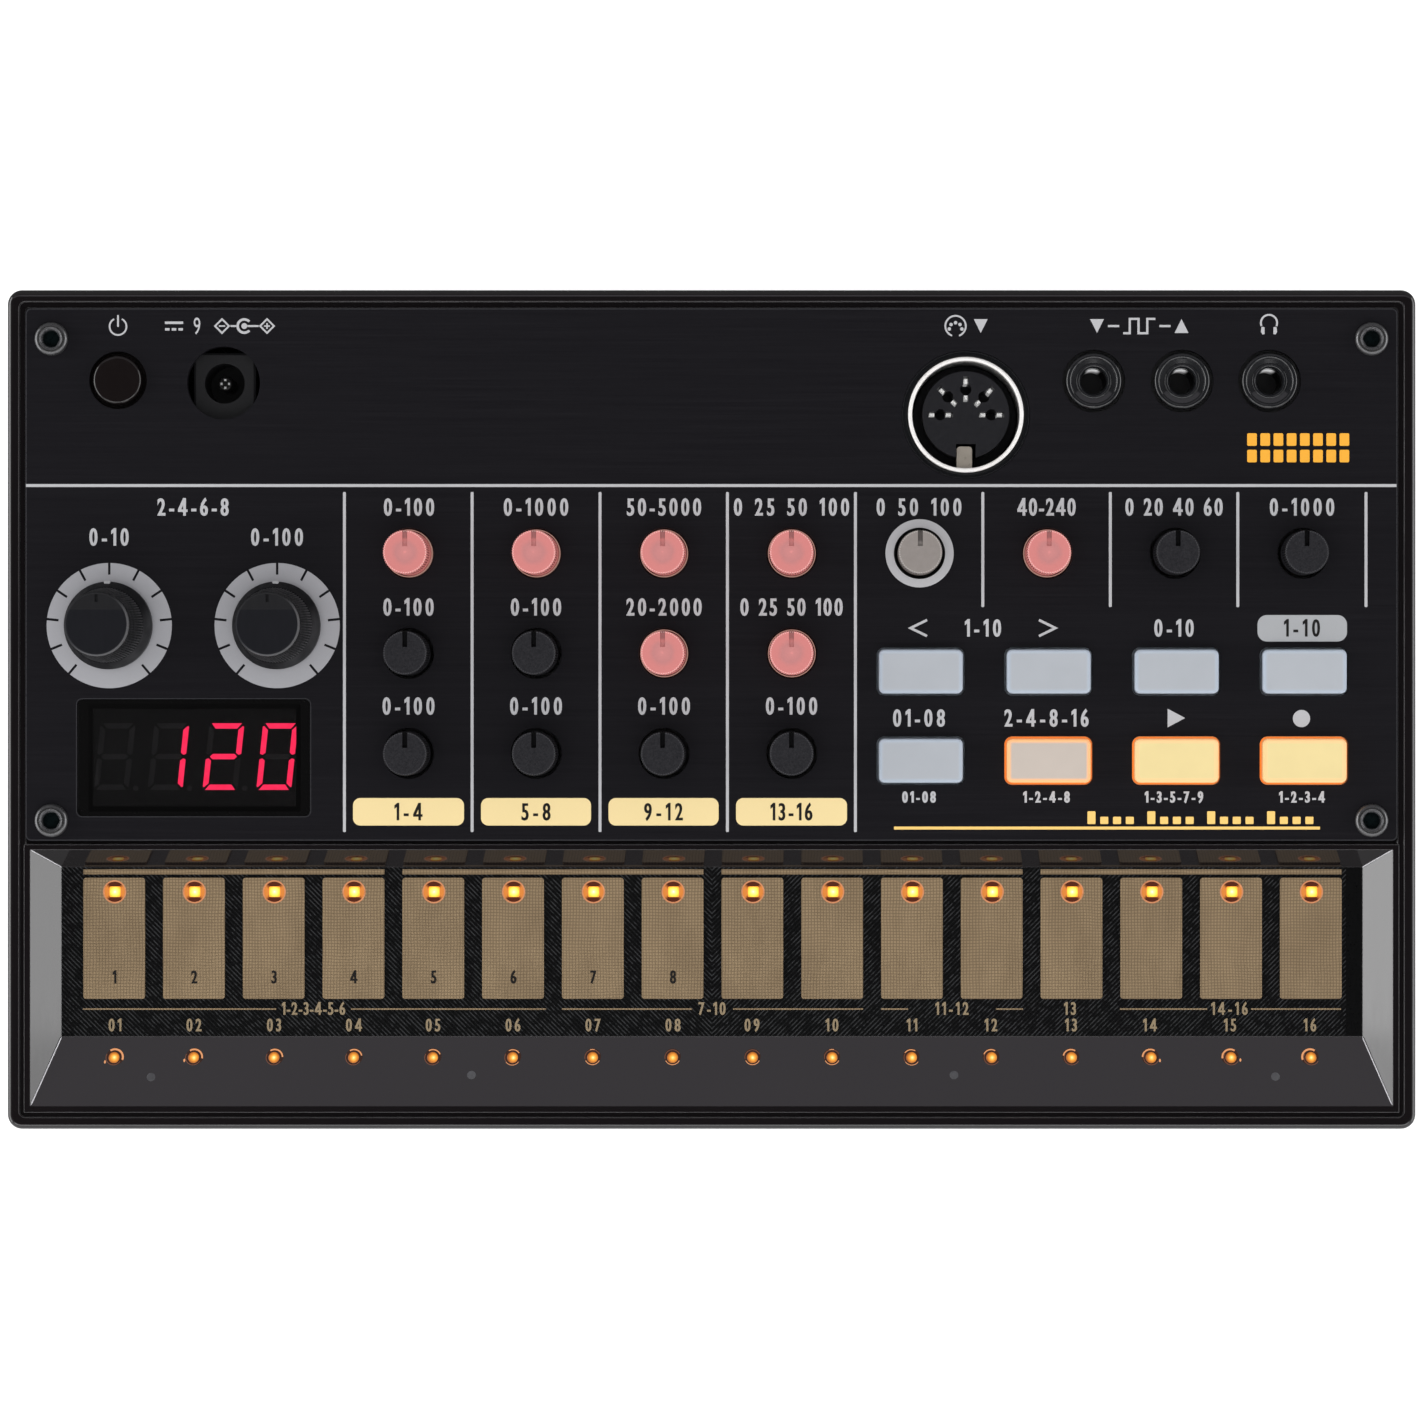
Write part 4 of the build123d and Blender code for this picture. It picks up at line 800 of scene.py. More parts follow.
# long rule behind the controls, and the column rules
x0, y0 = place(26, 485.5)
x1, _ = place(1396.5, 485.5)
lines.append(rect(x0, y0 - 0.2, x1, y0 + 0.2))
for px_, pb in [(344.4, 832), (472.1, 832), (600, 832), (727.4, 832), (855.4, 832), (982.8, 607), (1110.3, 607), (1237.8, 607), (1366, 607)]:
    x, ya = place(px_, 492)
    _, yb = place(px_, pb)
    lines.append(rrect(x - 0.2, yb, x + 0.2, ya, 0.12, 3))
flat("print_rules", lines, Z_PANEL, INK_T, "ink_silver")

marks = []


def label(s, px_, py_, h, w_px=None, **kw):
    cx, cy = place(px_, py_)
    marks.extend(text(s, cx, cy, h, None if w_px is None else w_px / SCALE, **kw))


H1, H2 = 2.34, 1.50
label("2-4-6-8", 193, 507, H1, 70)
label("0-10", 109, 537, H1, 38)
label("0-100", 277, 537, H1, 52)
label("0-100", 409, 507, H1, 49)
label("0-1000", 536, 507, H1, 64)
label("50-5000", 664, 507, H1, 73)
label("0 25 50 100", 791.5, 507, H1, 114)
label("0 50 100", 919, 507, H1, 95)
label("40-240", 1046.5, 507, H1, 57)
label("0 20 40 60", 1174, 507, H1, 96)
label("0-1000", 1302, 507, H1, 66)
label("0-100", 408.5, 607, H1, 49)
label("0-100", 536, 607, H1, 49)
label("20-2000", 664, 607, H1, 74)
label("0 25 50 100", 791.5, 607, H1, 101)
label("0-100", 408.5, 706, H1, 52)
label("0-100", 536, 706, H1, 52)
label("0-100", 664, 706, H1, 52)
label("0-100", 791.5, 706, H1, 50)
label("1-10", 983, 628, H1, 41)
label("0-10", 1174, 628, H1, 44)
label("01-08", 919, 718, H1, 70)
label("2-4-8-16", 1046.5, 718, H1, 92)
label("01-08", 919, 797, H2, 40)
label("1-2-4-8", 1046.5, 797, H2, 68)
label("1-3-5-7-9", 1174, 797, H2, 80)
label("1-2-3-4", 1302, 797, H2, 60)
flat("print_numbers", marks, Z_PANEL, INK_T, "ink_silver", bold=0.036, across=2.6)

# pictograms
signs = []
for px_, s in ((919, -1), (1047, 1)):
    cx, cy = place(px_, 628)
    signs.append(bent([(cx - s * 1.1, cy + 1.1), (cx + s * 1.15, cy), (cx - s * 1.1, cy - 1.1)], 0.34))
cx, cy = place(1176, 718)
signs.append([(cx - 1.15, cy + 1.28), (cx - 1.15, cy - 1.28), (cx + 1.25, cy)])
cx, cy = place(1301.5, 718.5)
signs.append(circle(cx, cy, 1.18, 48))
# standby symbol
cx, cy = place(118, 326.5)
signs.append(arc_band(cx, cy, 1.04, 1.27, 90 + 27, 90 + 333))
signs.append(rrect(cx - 0.125, cy - 0.05, cx + 0.125, cy + 1.58, 0.10, 3))
# direct current: a line over a broken line, the figure nine, and the polarity of the plug
cx, cy = place(174, 326)
signs.append(dash(cx, cy + 0.45, 2.5, 0.34))
for k in (-1, 0, 1):
    signs.append(dash(cx + k * 0.92, cy - 0.45, 0.62, 0.34))
cx, cy = place(197, 326)
signs.extend(text("9", cx, cy, H1))
for px_, plus in ((222, False), (267, True)):
    cx, cy = place(px_, 326)
    signs.append([(cx - 1.12, cy), (cx, cy - 1.12), (cx + 1.12, cy), (cx, cy + 1.12)])
    signs.append([(cx - 0.78, cy), (cx, cy - 0.78), (cx + 0.78, cy), (cx, cy + 0.78)])
    if plus:
        signs.append([(cx - 0.4, cy - 0.1), (cx - 0.1, cy - 0.1), (cx - 0.1, cy - 0.4), (cx + 0.1, cy - 0.4), (cx + 0.1, cy - 0.1), (cx + 0.4, cy - 0.1),
                      (cx + 0.4, cy + 0.1), (cx + 0.1, cy + 0.1), (cx + 0.1, cy + 0.4), (cx - 0.1, cy + 0.4), (cx - 0.1, cy + 0.1), (cx - 0.4, cy + 0.1)])
    else:
        signs.append(dash(cx, cy, 0.85, 0.2))
cx, cy = place(244.3, 326)
signs.append(arc_band(cx, cy, 0.74, 1.08, 42, 318))
signs.append(circle(cx, cy, 0.40, 32))
xa, _ = place(230.4, 326)
signs.append(rect(xa, cy - 0.13, cx - 1.10, cy + 0.13))
xb, _ = place(258.6, 326)
signs.append(rect(cx + 0.42, cy - 0.13, xb, cy + 0.13))
# round socket: an arrow pointing in, and its five contacts
cx, cy = place(966.5, 326)
for a in (0, 45, 90, 135, 180):
    signs.append(circle(cx - 1.5 + 0.86 * math.cos(math.radians(a)), cy - 0.4 + 0.86 * math.sin(math.radians(a)), 0.24, 20))
signs.append(arc_band(cx - 1.5, cy, 1.28, 1.52, -70, 250, 56))
signs.append([(cx + 1.0, cy + 0.95), (cx + 2.9, cy + 0.95), (cx + 1.95, cy - 0.95)])
# pair of pulse sockets: in, out, and a line that joins them
ax, ay = place(1097, 326)
bx, by = place(1181.5, 326)
signs.append([(ax - 0.95, ay + 0.95), (ax + 0.95, ay + 0.95), (ax, ay - 0.95)])
signs.append([(bx - 0.95, by - 0.95), (bx + 0.95, by - 0.95), (bx, by + 0.95)])
cx = (ax + bx) / 2
signs.append(rect(ax + 1.5, ay - 0.15, cx - 2.75, ay + 0.15))
signs.append(rect(cx + 2.75, ay - 0.15, bx - 1.5, ay + 0.15))
signs.append(bent([(cx - 2.2, ay - 0.98), (cx - 1.3, ay - 0.98), (cx - 1.3, ay + 0.98), (cx - 0.1, ay + 0.98), (cx - 0.1, ay - 0.98), (cx + 1.1, ay - 0.98), (cx + 1.1, ay + 0.98), (cx + 2.2, ay + 0.98)], 0.3))
# headphones
cx, cy = place(1269, 324)
signs.append(arc_band(cx, cy + 0.15, 0.98, 1.24, -22, 202, 48))
for s in (-1, 1):
    signs.append([(cx + s * 0.62, cy - 0.42), (cx + s * 1.02, cy - 0.36), (cx + s * 1.12, cy - 1.05), (cx + s * 0.92, cy - 1.42), (cx + s * 0.60, cy - 1.38)])
flat("print_signs", signs, Z_PANEL, INK_T, "ink_silver")

# scales of the two large dials, eleven gaps each
DIALS = [(-82.5, 11.5), (-59.5, 11.5)]
rings = []
for dx, dy in DIALS:
    outer = [a for a in (-140, -112, -84, -56, -28, 0, 28, 56, 84, 112, 140)]
    pts = []
    half = math.degrees(0.165 / 8.58)
    for i, a in enumerate(outer):
        b = 90 - a
        # outer arc up to this gap, then a notch of 1.6 mm
        nxt = outer[(i + 1) % len(outer)]
        for rr_, aa in ((8.58, b + half), (6.98, b + half * 8.58 / 6.98), (6.98, b - half * 8.58 / 6.98), (8.58, b - half)):
            pts.append((dx + rr_ * math.cos(math.radians(aa)), dy + rr_ * math.sin(math.radians(aa))))
        end = 90 - nxt + half
        start = b - half
        if nxt < a:
            end -= 360
        steps = max(6, int(abs(start - end) / 4))
        for j in range(1, steps):
            t = math.radians(start + (end - start) * j / steps)
            pts.append((dx + 8.58 * math.cos(t), dy + 8.58 * math.sin(t)))
    rings.append(pts)
    rings.append(circle(dx, dy, 5.6, 72))
flat("print_dial_scales", rings, Z_PANEL, INK_T, "ink_ring")
flat("print_knob_ring", [circle(28.5, 21.4, 4.67, 96), circle(28.5, 21.4, 3.52, 72)], Z_PANEL, INK_T, "ink_silver")

# plates with numbers
cream = []
for xa, xb in ((353, 464), (481, 591), (608.5, 718.6), (736, 847)):
    a, b = place(xa, 825.5), place(xb, 798)
    cream.append(rrect(a[0], a[1], b[0], b[1], 1.0, 8))
flat("print_plates", cream, Z_PANEL, INK_T, "ink_cream")
a, b = place(1257.5, 641.5), place(1347, 615)
flat("print_key_plate", [rrect(a[0], a[1], b[0], b[1], 1.3, 8)], Z_PANEL, INK_T, "ink_plate")
dark = []
for px_, s in ((408.5, "1-4"), (536, "5-8"), (663.5, "9-12"), (791.5, "13-16")):
    cx, cy = place(px_, 811.8)
    dark.extend(text(s, cx, cy, H1, 5.6))
cx, cy = place(1302, 628)
dark.extend(text("1-10", cx, cy, H1, 5.8))
flat("print_plate_numbers", dark, Z_PANEL + INK_T, 0.02, "ink_dark", bold=0.030, sink=0.01, across=2.6)

# yellow rule with sixteen step marks in four groups
yl = []
xa, ya = place(894, 828)
xb, _ = place(1320, 828)
yl.append(rect(xa, ya - 0.2, xb, ya + 0.2))
x0_, _ = place(1086, 816)
for g in range(4):
    for k in range(4):
        cx = x0_ + 0.75 + g * 8.2 + k * 1.75
        yl.append(rrect(cx - 0.55, ya + 0.55, cx + 0.55, ya + (2.3 if k == 0 else 1.55), 0.12, 3))
flat("print_yellow_rule", yl, Z_PANEL, INK_T, "ink_pale_yellow")
blocks = []
for row in range(2):
    for k in range(8):
        cx, cy = place(1252 + k * 13.2, 439.5 + row * 16.5)
        blocks.append(rrect(cx - 0.66, cy - 0.86, cx + 0.66, cy + 0.86, 0.18, 3))
flat("print_step_blocks", blocks, Z_PANEL, INK_T, "ink_yellow")

# ---------------------------------------------------------------- print on the touch board
tan = []
for x_a, x_b in ((-86.75, -46.2), (-42.75, -2.2), (1.3, 41.9), (45.25, 86.75)):
    pass
PADS = [(i - 7.5) * 10.972 + 0.07 for i in range(16)]
LED_X, LED_Y = [x + 0.08 for x in PADS], -25.06
for g in range(4):
    tan.append(rect(PADS[4 * g] - 4.24, -22.68, PADS[4 * g + 3] + 4.24, -21.98))


def tan_line(xa, xb, py_=1009):
    a, _ = place(xa, py_, Z_BOARD)
    b, y = place(xb, py_, Z_BOARD)
    tan.append(rect(a, y - 0.1, b, y + 0.1))


for xa, xb in ((83, 276), (351, 546), (562, 692), (733, 863), (881, 908), (996, 1023), (1120, 1207), (1251, 1341)):
    tan_line(xa, xb)
small = []
for px_, s in ((313.5, "1-2-3-4-5-6"), (712, "7-10"), (952, "11-12"), (1070, "13"), (1229.5, "14-16")):
    cx, cy = place(px_, 1008.5, Z_BOARD)
    small.extend(text(s, cx, cy, 1.72, {313.5: 8.6, 712: 3.6, 952: 9.0, 1070: 3.0, 1229.5: 5.0}[px_]))
for i, px_ in enumerate((115, 194, 274, 354, 433, 513, 593, 673, 752, 832, 912, 991, 1071, 1150, 1230, 1310)):
    cx, cy = place(px_, 1025, Z_BOARD)
    small.extend(text(f"{i + 1:02d}", cx, cy, 1.72, 3.2))
flat("board_bars", tan, Z_BOARD, 0.035, "pad_gold")
flat("board_numbers", small, Z_BOARD, 0.035, "ink_tan", bold=0.026, across=2.6)
pad_nums = []
for i in range(8):
    cx, cy = place(114.5 + 79.75 * i, 977, Z_PADS)
    pad_nums.extend(text(str(i + 1), PADS[i] + 0.06, cy, 1.75))
flat("pad_numbers", pad_nums, Z_PADS, 0.02, "ink_dark", bold=0.034, across=2.2)

# lamp chips in the wells
MATS["chip"] = spot("step_led_chip", LED_X[0] + 0.05, LED_Y, 10.972, [(0.0, (1.0, 0.97, 0.62)), (0.22, (1.0, 0.86, 0.24)), (0.55, (1.0, 0.62, 0.06)), (0.85, (0.95, 0.36, 0.02)), (1.0, (0.75, 0.2, 0.01))], 1.35)
chips = [rrect(x - 0.69, LED_Y - 0.72, x + 0.79, LED_Y + 0.72, 0.14, 3) for x in LED_X]
flat("step_led_chips", chips, 29.5, 0.08, "chip")

# ---------------------------------------------------------------- lamps under the smoked ramp
SLOPE = math.atan2(3.2, 9.45)
ramp_m = Matrix.Translation((0, -44.9 * MM, Z_BOARD * MM)) @ Matrix.Rotation(-SLOPE, 4, "X")


def on_ramp(px_, py_):
    """Ramp coordinates (x, distance down from the ramp's lower edge as negative y) for a picture position."""
    z = Z_BOARD
    for _ in range(6):
        x, y = place(px_, py_, z)
        z = Z_BOARD + (-44.9 - y) * math.tan(SLOPE)
    return x, -(-44.9 - y) / math.cos(SLOPE)


RAMP_PX = [114, 193.5, 274, 353.5, 432.5, 512.5, 592.5, 672.5, 752.5, 832, 911.5, 991.5, 1071.5, 1151, 1231, 1311]


def dome(bm, cx, cy, rx, ry, h, rings=5, seg=28):
    """Low closed lens on the ramp's plane."""
    top = bm.verts.new((cx * MM, cy * MM, h * MM))
    prev = None
    for i in range(1, rings + 1):
        t = math.pi / 2 * i / rings
        ring = [bm.verts.new(((cx + rx * math.sin(t) * math.cos(2 * math.pi * j / seg)) * MM, (cy + ry * math.sin(t) * math.sin(2 * math.pi * j / seg)) * MM, (h * math.cos(t)) * MM)) for j in range(seg)]
        for j in range(seg):
            if prev is None:
                bm.faces.new((top, ring[j], ring[(j + 1) % seg]))
            else:
                bm.faces.new((prev[j], ring[j], ring[(j + 1) % seg], prev[(j + 1) % seg]))
        prev = ring
    low = [bm.verts.new((v.co.x, v.co.y, -0.02 * MM)) for v in prev]
    for j in range(seg):
        bm.faces.new((prev[j], low[j], low[(j + 1) % seg], prev[(j + 1) % seg]))
    bm.faces.new(low[::-1])


def ramp_piece(name, items, key):
    bm = bmesh.new()
    for cx, cy, rx, ry, h in items:
        dome(bm, cx, cy, rx, ry, h)
    mesh = bpy.data.meshes.new(name)
    bm.to_mesh(mesh)
    bm.free()
    mesh.transform(ramp_m)
    clean(mesh, 50)
    return new_object(name, mesh, key)


centres = [on_ramp(px_, 1057.5) for px_ in RAMP_PX]
world_c = [ramp_m @ Vector((cx * MM, cy * MM, 0)) for cx, cy in centres]
wy = world_c[0].y * 1000
pitch_r = (centres[-1][0] - centres[0][0]) / 15
MATS["ramp_lamp"] = spot("ramp_lamp", centres[0][0] + 0.05, wy, pitch_r, [(0.0, (1.0, 0.90, 0.50)), (0.16, (1.0, 0.66, 0.16)), (0.36, (0.86, 0.34, 0.035)), (0.62, (0.52, 0.165, 0.02)), (0.80, (0.26, 0.07, 0.012))], 0.95)
MATS["ramp_crescent"] = lamp("ramp_crescent", (0.60, 0.235, 0.085), 0.8, (0.80, 0.40, 0.20))
MATS["ramp_trace"] = lamp("ramp_trace", (0.16, 0.060, 0.035), 0.6, (0.24, 0.10, 0.06))
MATS["ramp_shadow"] = lamp("ramp_shadow", (0.045, 0.016, 0.008), 0.30)
# round each lamp: a halo of painted shadow, a crescent and specks of painted glint, and a dim trace of painted glow on
# its ring
halo, crescents, traces = [], [], []
for i, (cx, cy) in enumerate(centres):
    u = (i - 7.5) / 7.5                      # -1 at the left end, 1 at the right end
    mid = 90 + 38 * u                        # the bright edge leans away from the middle of the row
    half = 30 + 42 * abs(u)
    ox, oy = -0.10 * u, 0.06
    halo.append(circle(cx + ox * 1.6, cy + oy * 2.4, 1.12 + 0.08 * abs(u), 36))
    if abs(u) > 0.3:
        crescents.append(arc_band(cx + ox, cy + oy, 0.98, 1.04 + 0.20 * abs(u), mid - half, mid + half, 30))
    else:
        crescents.append(arc_band(cx, cy, 0.97, 1.07, 205, 335, 30))
    if i in (5, 6, 9, 10):
        crescents.append(arc_band(cx - ox, cy - 0.04, 1.0, 1.08, 215, 325, 24) if abs(u) > 0.3 else arc_band(cx, cy + 0.1, 1.0, 1.1, 75, 110, 12))
    traces.append(arc_band(cx - ox * 0.6, cy, 1.0, 1.09, 150, 330, 30) if abs(u) > 0.3 else arc_band(cx, cy + 0.05, 1.0, 1.09, 25, 195, 30))
specks = [(centres[0][0] - 1.22, centres[0][1] - 0.62), (centres[1][0] - 1.25, centres[1][1] - 0.40), (centres[14][0] + 1.28, centres[14][1] - 0.35), (centres[13][0] + 1.22, centres[13][1] - 0.42)]
flat("ramp_lamp_halos", halo, 0.0, 0.008, "ramp_shadow", matrix=ramp_m)
flat("ramp_lamp_traces", traces, 0.008, 0.008, "ramp_trace", matrix=ramp_m)
flat("ramp_lamp_crescents", crescents, 0.016, 0.008, "ramp_crescent", matrix=ramp_m)
ramp_piece("ramp_lamps", [(cx, cy, 0.76, 0.80, 0.10) for cx, cy in centres], "ramp_lamp")
ramp_piece("ramp_lamp_specks", [(cx, cy, 0.13, 0.24, 0.03) for cx, cy in specks], "ramp_crescent")
MATS["ramp_screw"] = moulded("ramp_screw_grey", (0.068, 0.068, 0.074), 0.4, 0.5, 0.02, 0.5, 0.7)
ramp_piece("ramp_posts", [(*on_ramp(px_, py_), 0.6, 0.6, 0.025) for px_, py_ in ((151, 1077), (471.5, 1075), (954, 1075), (1275.5, 1076.5))], "ramp_screw")

# ---------------------------------------------------------------- display figures
SEG = {"a": 1, "b": 2, "c": 4, "d": 8, "e": 16, "f": 32, "g": 64}
ON = {" ": "", "1": "bc", "2": "abged", "0": "abcdef"}
H, W, T, SHEAR = 9.15, 4.80, 0.74, math.tan(math.radians(6.0))
G = 0.17


def segments(cx, cy):
    """The seven bars of one figure, mitred and slanted."""
    w, h, t = W / 2, H / 2, T
    r = t / 2
    s, q = 0.16, G + 0.30
    bars = {
        "a": [(-w + s + G, h), (w - s - G, h), (w - t - G, h - t), (-w + t + G, h - t)],
        "d": [(-w + s + G, -h), (w - s - G, -h), (w - t - G, -h + t), (-w + t + G, -h + t)],
        "f": [(-w, h - q), (-w + s, h - q + 0.1), (-w + t, h - t - G), (-w + t, r + G), (-w + r, G * 1.4), (-w, G * 1.4 + 0.15)],
        "b": [(w, h - q), (w - s, h - q + 0.1), (w - t, h - t - G), (w - t, r + G), (w - r, G * 1.4), (w, G * 1.4 + 0.15)],
        "e": [(-w, -h + q), (-w + s, -h + q - 0.1), (-w + t, -h + t + G), (-w + t, -r - G), (-w + r, -G * 1.4), (-w, -G * 1.4 - 0.15)],
        "c": [(w, -h + q), (w - s, -h + q - 0.1), (w - t, -h + t + G), (w - t, -r - G), (w - r, -G * 1.4), (w, -G * 1.4 - 0.15)],
        "g": [(-w + r + G, 0), (-w + t + G, r), (w - t - G, r), (w - r - G, 0), (w - t - G, -r), (-w + t + G, -r)],
    }
    return {k: [(cx + x + y * SHEAR, cy + y) for x, y in v] for k, v in bars.items()}


lit, unlit = [], []
FACE_Z = 30.7
for px_, ch in ((115, " "), (168.8, "1"), (223.8, "2"), (277.5, "0")):
    cx, cy = place(px_, 756.5, FACE_Z)
    for k, bar in segments(cx, cy).items():
        (lit if k in ON[ch] else unlit).append(bar)
    unlit.append(circle(cx + 2.9, cy - 4.35, 0.38, 20))
m = Mat("figure_lit", Emission_Strength=1.75, Specular_IOR_Level=0.2)
n = m.noise(m.scaled(), 1.0 / 0.9, 2.0, 0.5)
m.set("Base Color", (0.3, 0.01, 0.03))
m.set("Emission Color", m.mix(n, (0.88, 0.010, 0.066), (1.0, 0.038, 0.125)))
m.set("Roughness", 0.4)
MATS["figure_lit"] = m
MATS["figure_unlit"] = moulded("figure_unlit", (0.038, 0.0385, 0.0385), 0.5, 0.4, 0.004)
flat("display_figures_lit", lit, FACE_Z, 0.03, "figure_lit")
flat("display_figures_unlit", unlit, FACE_Z, 0.03, "figure_unlit")

# ---------------------------------------------------------------- light that leaks round lit controls
def lathe(name, profile, cx, cy, key, seg=72, body="housing", closed=True):
    """Turned ring: profile is a closed list of (radius, z) in mm."""
    bm = bmesh.new()
    cols = []
    for j in range(seg):
        a = 2 * math.pi * j / seg
        cols.append([bm.verts.new(((cx + r * math.cos(a)) * MM, (cy + r * math.sin(a)) * MM, z * MM)) for r, z in profile])
    k = len(profile)
    for j in range(seg):
        a, b = cols[j], cols[(j + 1) % seg]
        for i in range(k):
            i2 = (i + 1) % k
            bm.faces.new((a[i], b[i], b[i2], a[i2]))
    mesh = bpy.data.meshes.new(name)
    bm.to_mesh(mesh)
    bm.free()
    clean(mesh, 35)
    return new_object(name, mesh, key, body)


MATS["glow_pink"] = lamp("glow_pink", (0.42, 0.21, 0.17), 0.50, (0.58, 0.36, 0.30))
MATS["glow_orange"] = lamp("glow_orange", (1.0, 0.22, 0.02), 0.95)
KX = [-41.5, -24.0, -6.5, 11.0, 28.5, 46.0, 63.5, 81.0]
KY = [21.4, 7.7, -6.0]
RED = [(1, 1), (1, 2), (1, 3), (1, 4), (1, 6), (2, 3), (2, 4)]
for r_, c_ in RED:
    x, y = KX[c_ - 1], KY[r_ - 1]
    lathe(f"glow_ring_r{r_}c{c_}", [(3.13, 31.1), (3.27, 31.1), (3.27, 32.40), (3.20, 32.46), (3.13, 32.40)], x, y, "glow_pink")
for c_ in (2, 3, 4):
    x, y = [28.65, 46.15, 63.65, 81.15][c_ - 1], -7.0
    w, d = 5.74, 3.02
    flat(f"glow_frame_r2c{c_}", [rrect(x - w - 0.18, y - d - 0.18, x + w + 0.18, y + d + 0.18, 1.0, 6), rrect(x - w - 0.04, y - d - 0.04, x + w + 0.04, y + d + 0.04, 0.8, 6)],
         31.05, 0.6, "glow_orange", sink=0.0)

# sleeve inside each jack bore, with its painted light
for i, x in enumerate((52.36, 64.46, 76.45), 1):
    lathe(f"jack_sleeve_{i}", [(1.70, 22.8), (1.785, 22.8), (1.785, 29.5), (1.74, 29.6), (1.70, 29.5)], x, 45.0, "sleeve_bright", 64)

# plastic flange round the five-pin socket, with a painted highlight along its lip
lathe("midi_flange", [(7.95, 30.2), (8.75, 30.2), (8.75, 31.55), (8.62, 31.7), (8.2, 31.7), (7.95, 31.5)], 34.85, 40.4, "jack_plastic", 96)
lathe("midi_flange_lip", [(8.62, 31.72), (8.73, 31.6), (8.75, 31.66), (8.72, 31.78), (8.64, 31.78)], 34.85, 40.4, "ink_edge", 96)

# thin pale rods along the four mitres of the recess: painted highlights on those edges
MATS["mitre_bead"] = glossy("mitre_bead", (0.66, 0.65, 0.68), 0.2, 0.0, 0.0, 0.5, 0.2)


def bead(name, a, b, radius, key, seg=8):
    """Slender closed rod from a to b, tapered at both ends."""
    a, b = Vector(a) * MM, Vector(b) * MM
    d = (b - a).normalized()
    u = d.orthogonal().normalized()
    v = d.cross(u)
    bm = bmesh.new()
    rows = []
    for t, k in ((0.0, 0.35), (0.03, 1.0), (0.97, 1.0), (1.0, 0.35)):
        p = a.lerp(b, t)
        rows.append([bm.verts.new(p + (u * math.cos(2 * math.pi * j / seg) + v * math.sin(2 * math.pi * j / seg)) * radius * k * MM) for j in range(seg)])
    for p, q in zip(rows, rows[1:]):
        for j in range(seg):
            bm.faces.new((p[j], p[(j + 1) % seg], q[(j + 1) % seg], q[j]))
    bm.faces.new(rows[0][::-1])
    bm.faces.new(rows[-1])
    mesh = bpy.data.meshes.new(name)
    bm.to_mesh(mesh)
    bm.free()
    clean(mesh, 50)
    return new_object(name, mesh, key)


for sx, side in ((-1, "left"), (1, "right")):
    bead(f"mitre_front_{side}", (sx * 89.47, -45.02, 29.44), (sx * 93.24, -54.16, 32.44), 0.095, "mitre_bead")
    bead(f"mitre_back_{side}", (sx * 89.47, -21.67, 29.44), (sx * 93.24, -19.25, 32.44), 0.08, "mitre_bead")

# pale inlay in the notch of each large dial
for body, (dx, dy) in zip(("dial_left", "dial_right"), DIALS):
    flat(f"{body}_tab", [rrect(dx - 0.40, dy + 5.68, dx + 0.40, dy + 6.06, 0.10, 3)], 33.8, 1.2, "ink_silver", body=body, sink=0.0)

# painted highlight along the outer edge of the panel, and of the window's opening
flat("panel_edge_line", [rrect(-93.95, -17.95, 93.95, 54.95, 0.75), rrect(-93.81, -17.81, 93.81, 54.81, 0.62),
                         rrect(-87.06, -14.76, -54.84, 1.56, 0.86), rrect(-86.94, -14.64, -54.96, 1.44, 0.74)], Z_PANEL, 0.012, "ink_edge")

# ---------------------------------------------------------------- floor, light, camera
def floor_material():
    m = bpy.data.materials.new("floor_pale")
    m.use_nodes = True
    t = m.node_tree
    t.nodes.clear()
    out = t.nodes.new("ShaderNodeOutputMaterial")
    d = t.nodes.new("ShaderNodeBsdfPrincipled")
    d.inputs["Base Color"].default_value = (0.46, 0.46, 0.46, 1)
    d.inputs["Roughness"].default_value = 0.9
    d.inputs["Specular IOR Level"].default_value = 0.0
    d.inputs["Emission Color"].default_value = (1, 1, 1, 1)
    d.inputs["Emission Strength"].default_value = 0.80
    tr = t.nodes.new("ShaderNodeBsdfTransparent")
    g = t.nodes.new("ShaderNodeNewGeometry")
    mx_ = t.nodes.new("ShaderNodeMixShader")
    t.links.new(g.outputs["Backfacing"], mx_.inputs[0])
    t.links.new(d.outputs[0], mx_.inputs[1])
    t.links.new(tr.outputs[0], mx_.inputs[2])
    t.links.new(mx_.outputs[0], out.inputs[0])
    return m


bm = bmesh.new()
bmesh.ops.create_grid(bm, x_segments=8, y_segments=8, size=6.0)
mesh = bpy.data.meshes.new("floor")
bm.to_mesh(mesh)
bm.free()
floor = bpy.data.objects.new("floor", mesh)
bpy.context.scene.collection.objects.link(floor)
floor.data.materials.append(floor_material())
floor.location.z = -0.0002
floor.visible_shadow = False
floor.visible_diffuse = False
floor.visible_glossy = False

world = bpy.data.worlds.new("studio")
bpy.context.scene.world = world
world.use_nodes = True
t = world.node_tree
t.nodes.clear()
out = t.nodes.new("ShaderNodeOutputWorld")
bg = t.nodes.new("ShaderNodeBackground")
tc = t.nodes.new("ShaderNodeTexCoord")
sep = t.nodes.new("ShaderNodeSeparateXYZ")
mr = t.nodes.new("ShaderNodeMapRange")
mr.inputs[1].default_value = -1.0
mr.inputs[2].default_value = 1.0
cr = t.nodes.new("ShaderNodeValToRGB")
cr.color_ramp.interpolation = "EASE"
stops = [(0.0, 0.80), (0.50, 0.95), (0.70, 1.0), (0.80, 0.55), (0.90, 0.17), (0.955, 0.055), (1.0, 0.02)]
els = cr.color_ramp.elements
while len(els) < len(stops):
    els.new(0.5)
for e, (p, v) in zip(els, stops):
    e.position = p
    e.color = (v, v, v * 1.01, 1)
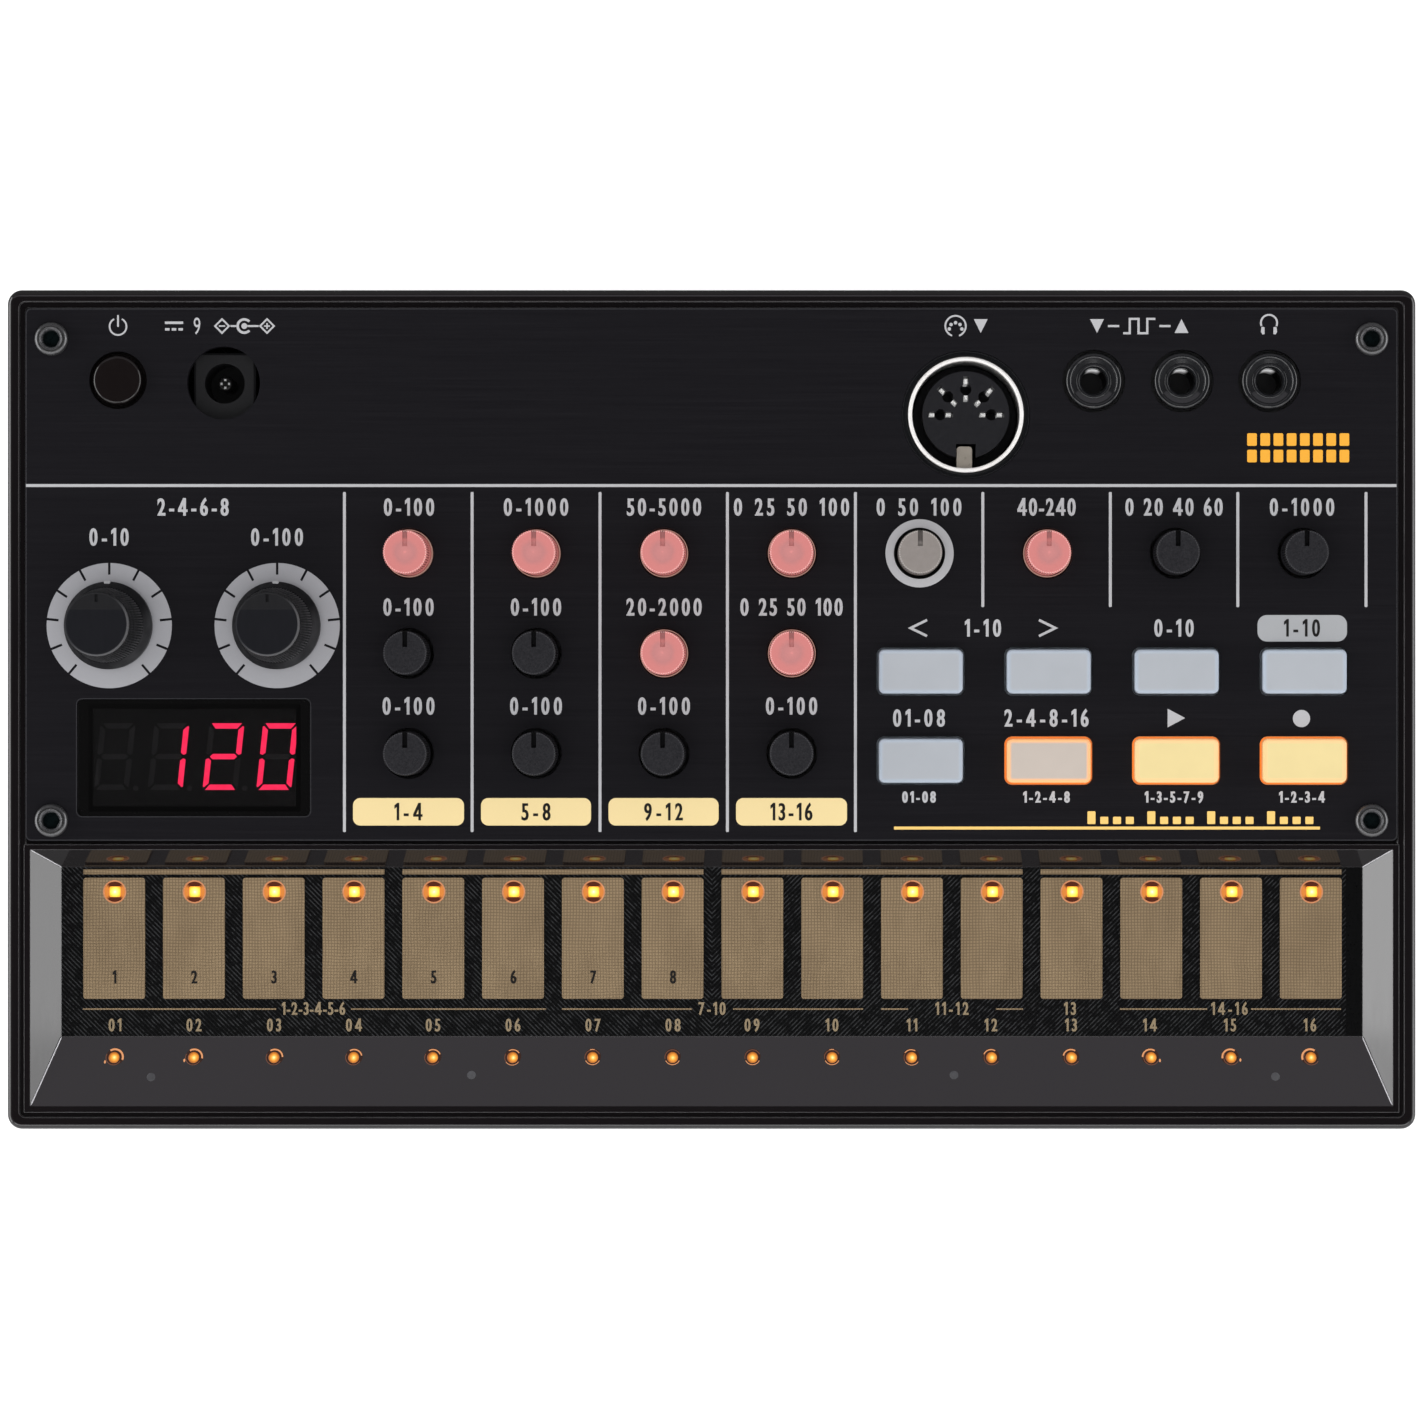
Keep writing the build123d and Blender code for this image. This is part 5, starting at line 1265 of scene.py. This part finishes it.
t.links.new(tc.outputs["Generated"], sep.inputs[0])
t.links.new(sep.outputs[2], mr.inputs[0])
t.links.new(mr.outputs[0], cr.inputs[0])
behind = t.nodes.new("ShaderNodeMapRange")
behind.inputs[1].default_value = -0.15
behind.inputs[2].default_value = 0.45
behind.inputs[3].default_value = 1.0
behind.inputs[4].default_value = 0.22
t.links.new(sep.outputs[1], behind.inputs[0])
t.links.new(cr.outputs[0], bg.inputs["Color"])
t.links.new(behind.outputs[0], bg.inputs["Strength"])
t.links.new(bg.outputs[0], out.inputs[0])


def softbox(name, az, el, dist, size, power, glossy=True, slide=0.0):
    """Area light at azimuth az (0 is front, 90 right) and elevation el, aimed at the object, slid back by slide m."""
    a, e = math.radians(az), math.radians(el)
    d = Vector((math.sin(a) * math.cos(e), -math.cos(a) * math.cos(e), math.sin(e)))
    ld = bpy.data.lights.new(name, "AREA")
    ld.shape = "RECTANGLE"
    ld.size, ld.size_y = size
    ld.energy = power
    o = bpy.data.objects.new(name, ld)
    bpy.context.scene.collection.objects.link(o)
    o.location = d * dist + Vector((0, slide, 0))
    o.rotation_mode = "QUATERNION"
    o.rotation_quaternion = d.to_track_quat("Z", "Y")
    o.visible_glossy = glossy
    o.visible_transmission = glossy
    o.visible_camera = False
    return o


for side, az, power in (("left", -90, 8.1), ("right", 90, 5.6)):
    softbox(f"soft_{side}", az, 19, 1.2, (0.87, 0.5), power * 0.87 / 1.5, slide=0.315)
    softbox(f"soft_{side}_front", az, 19, 1.2, (0.63, 0.5), power * 0.64 * 0.63 / 1.5, slide=-0.435)
softbox("soft_front", 0, 53, 1.4, (1.8, 0.46), 5.3)
softbox("soft_back", 180, 56, 1.4, (1.8, 0.46), 1.15).data.color = (0.97, 0.92, 1.0)
softbox("soft_top", 0, 90, 1.4, (1.2, 1.2), 10.0, glossy=False)

cam_data = bpy.data.cameras.new("camera")
cam = bpy.data.objects.new("camera", cam_data)
bpy.context.scene.collection.objects.link(cam)
cam.location = EYE * MM
cam.rotation_euler = (0, 0, 0)
cam_data.sensor_width = 36.0
cam_data.lens = 36.0 * 750.0 / 194.8
cam_data.shift_x = -16.07 / 194.8
cam_data.shift_y = -0.2 / 194.8
cam_data.clip_start = 0.02
cam_data.clip_end = 50.0
cam_data.dof.use_dof = False
bpy.context.scene.camera = cam

bpy.context.scene.view_settings.view_transform = "Standard"
bpy.context.scene.view_settings.look = "None"
bpy.context.scene.view_settings.exposure = 0.0
bpy.context.scene.view_settings.gamma = 1.0
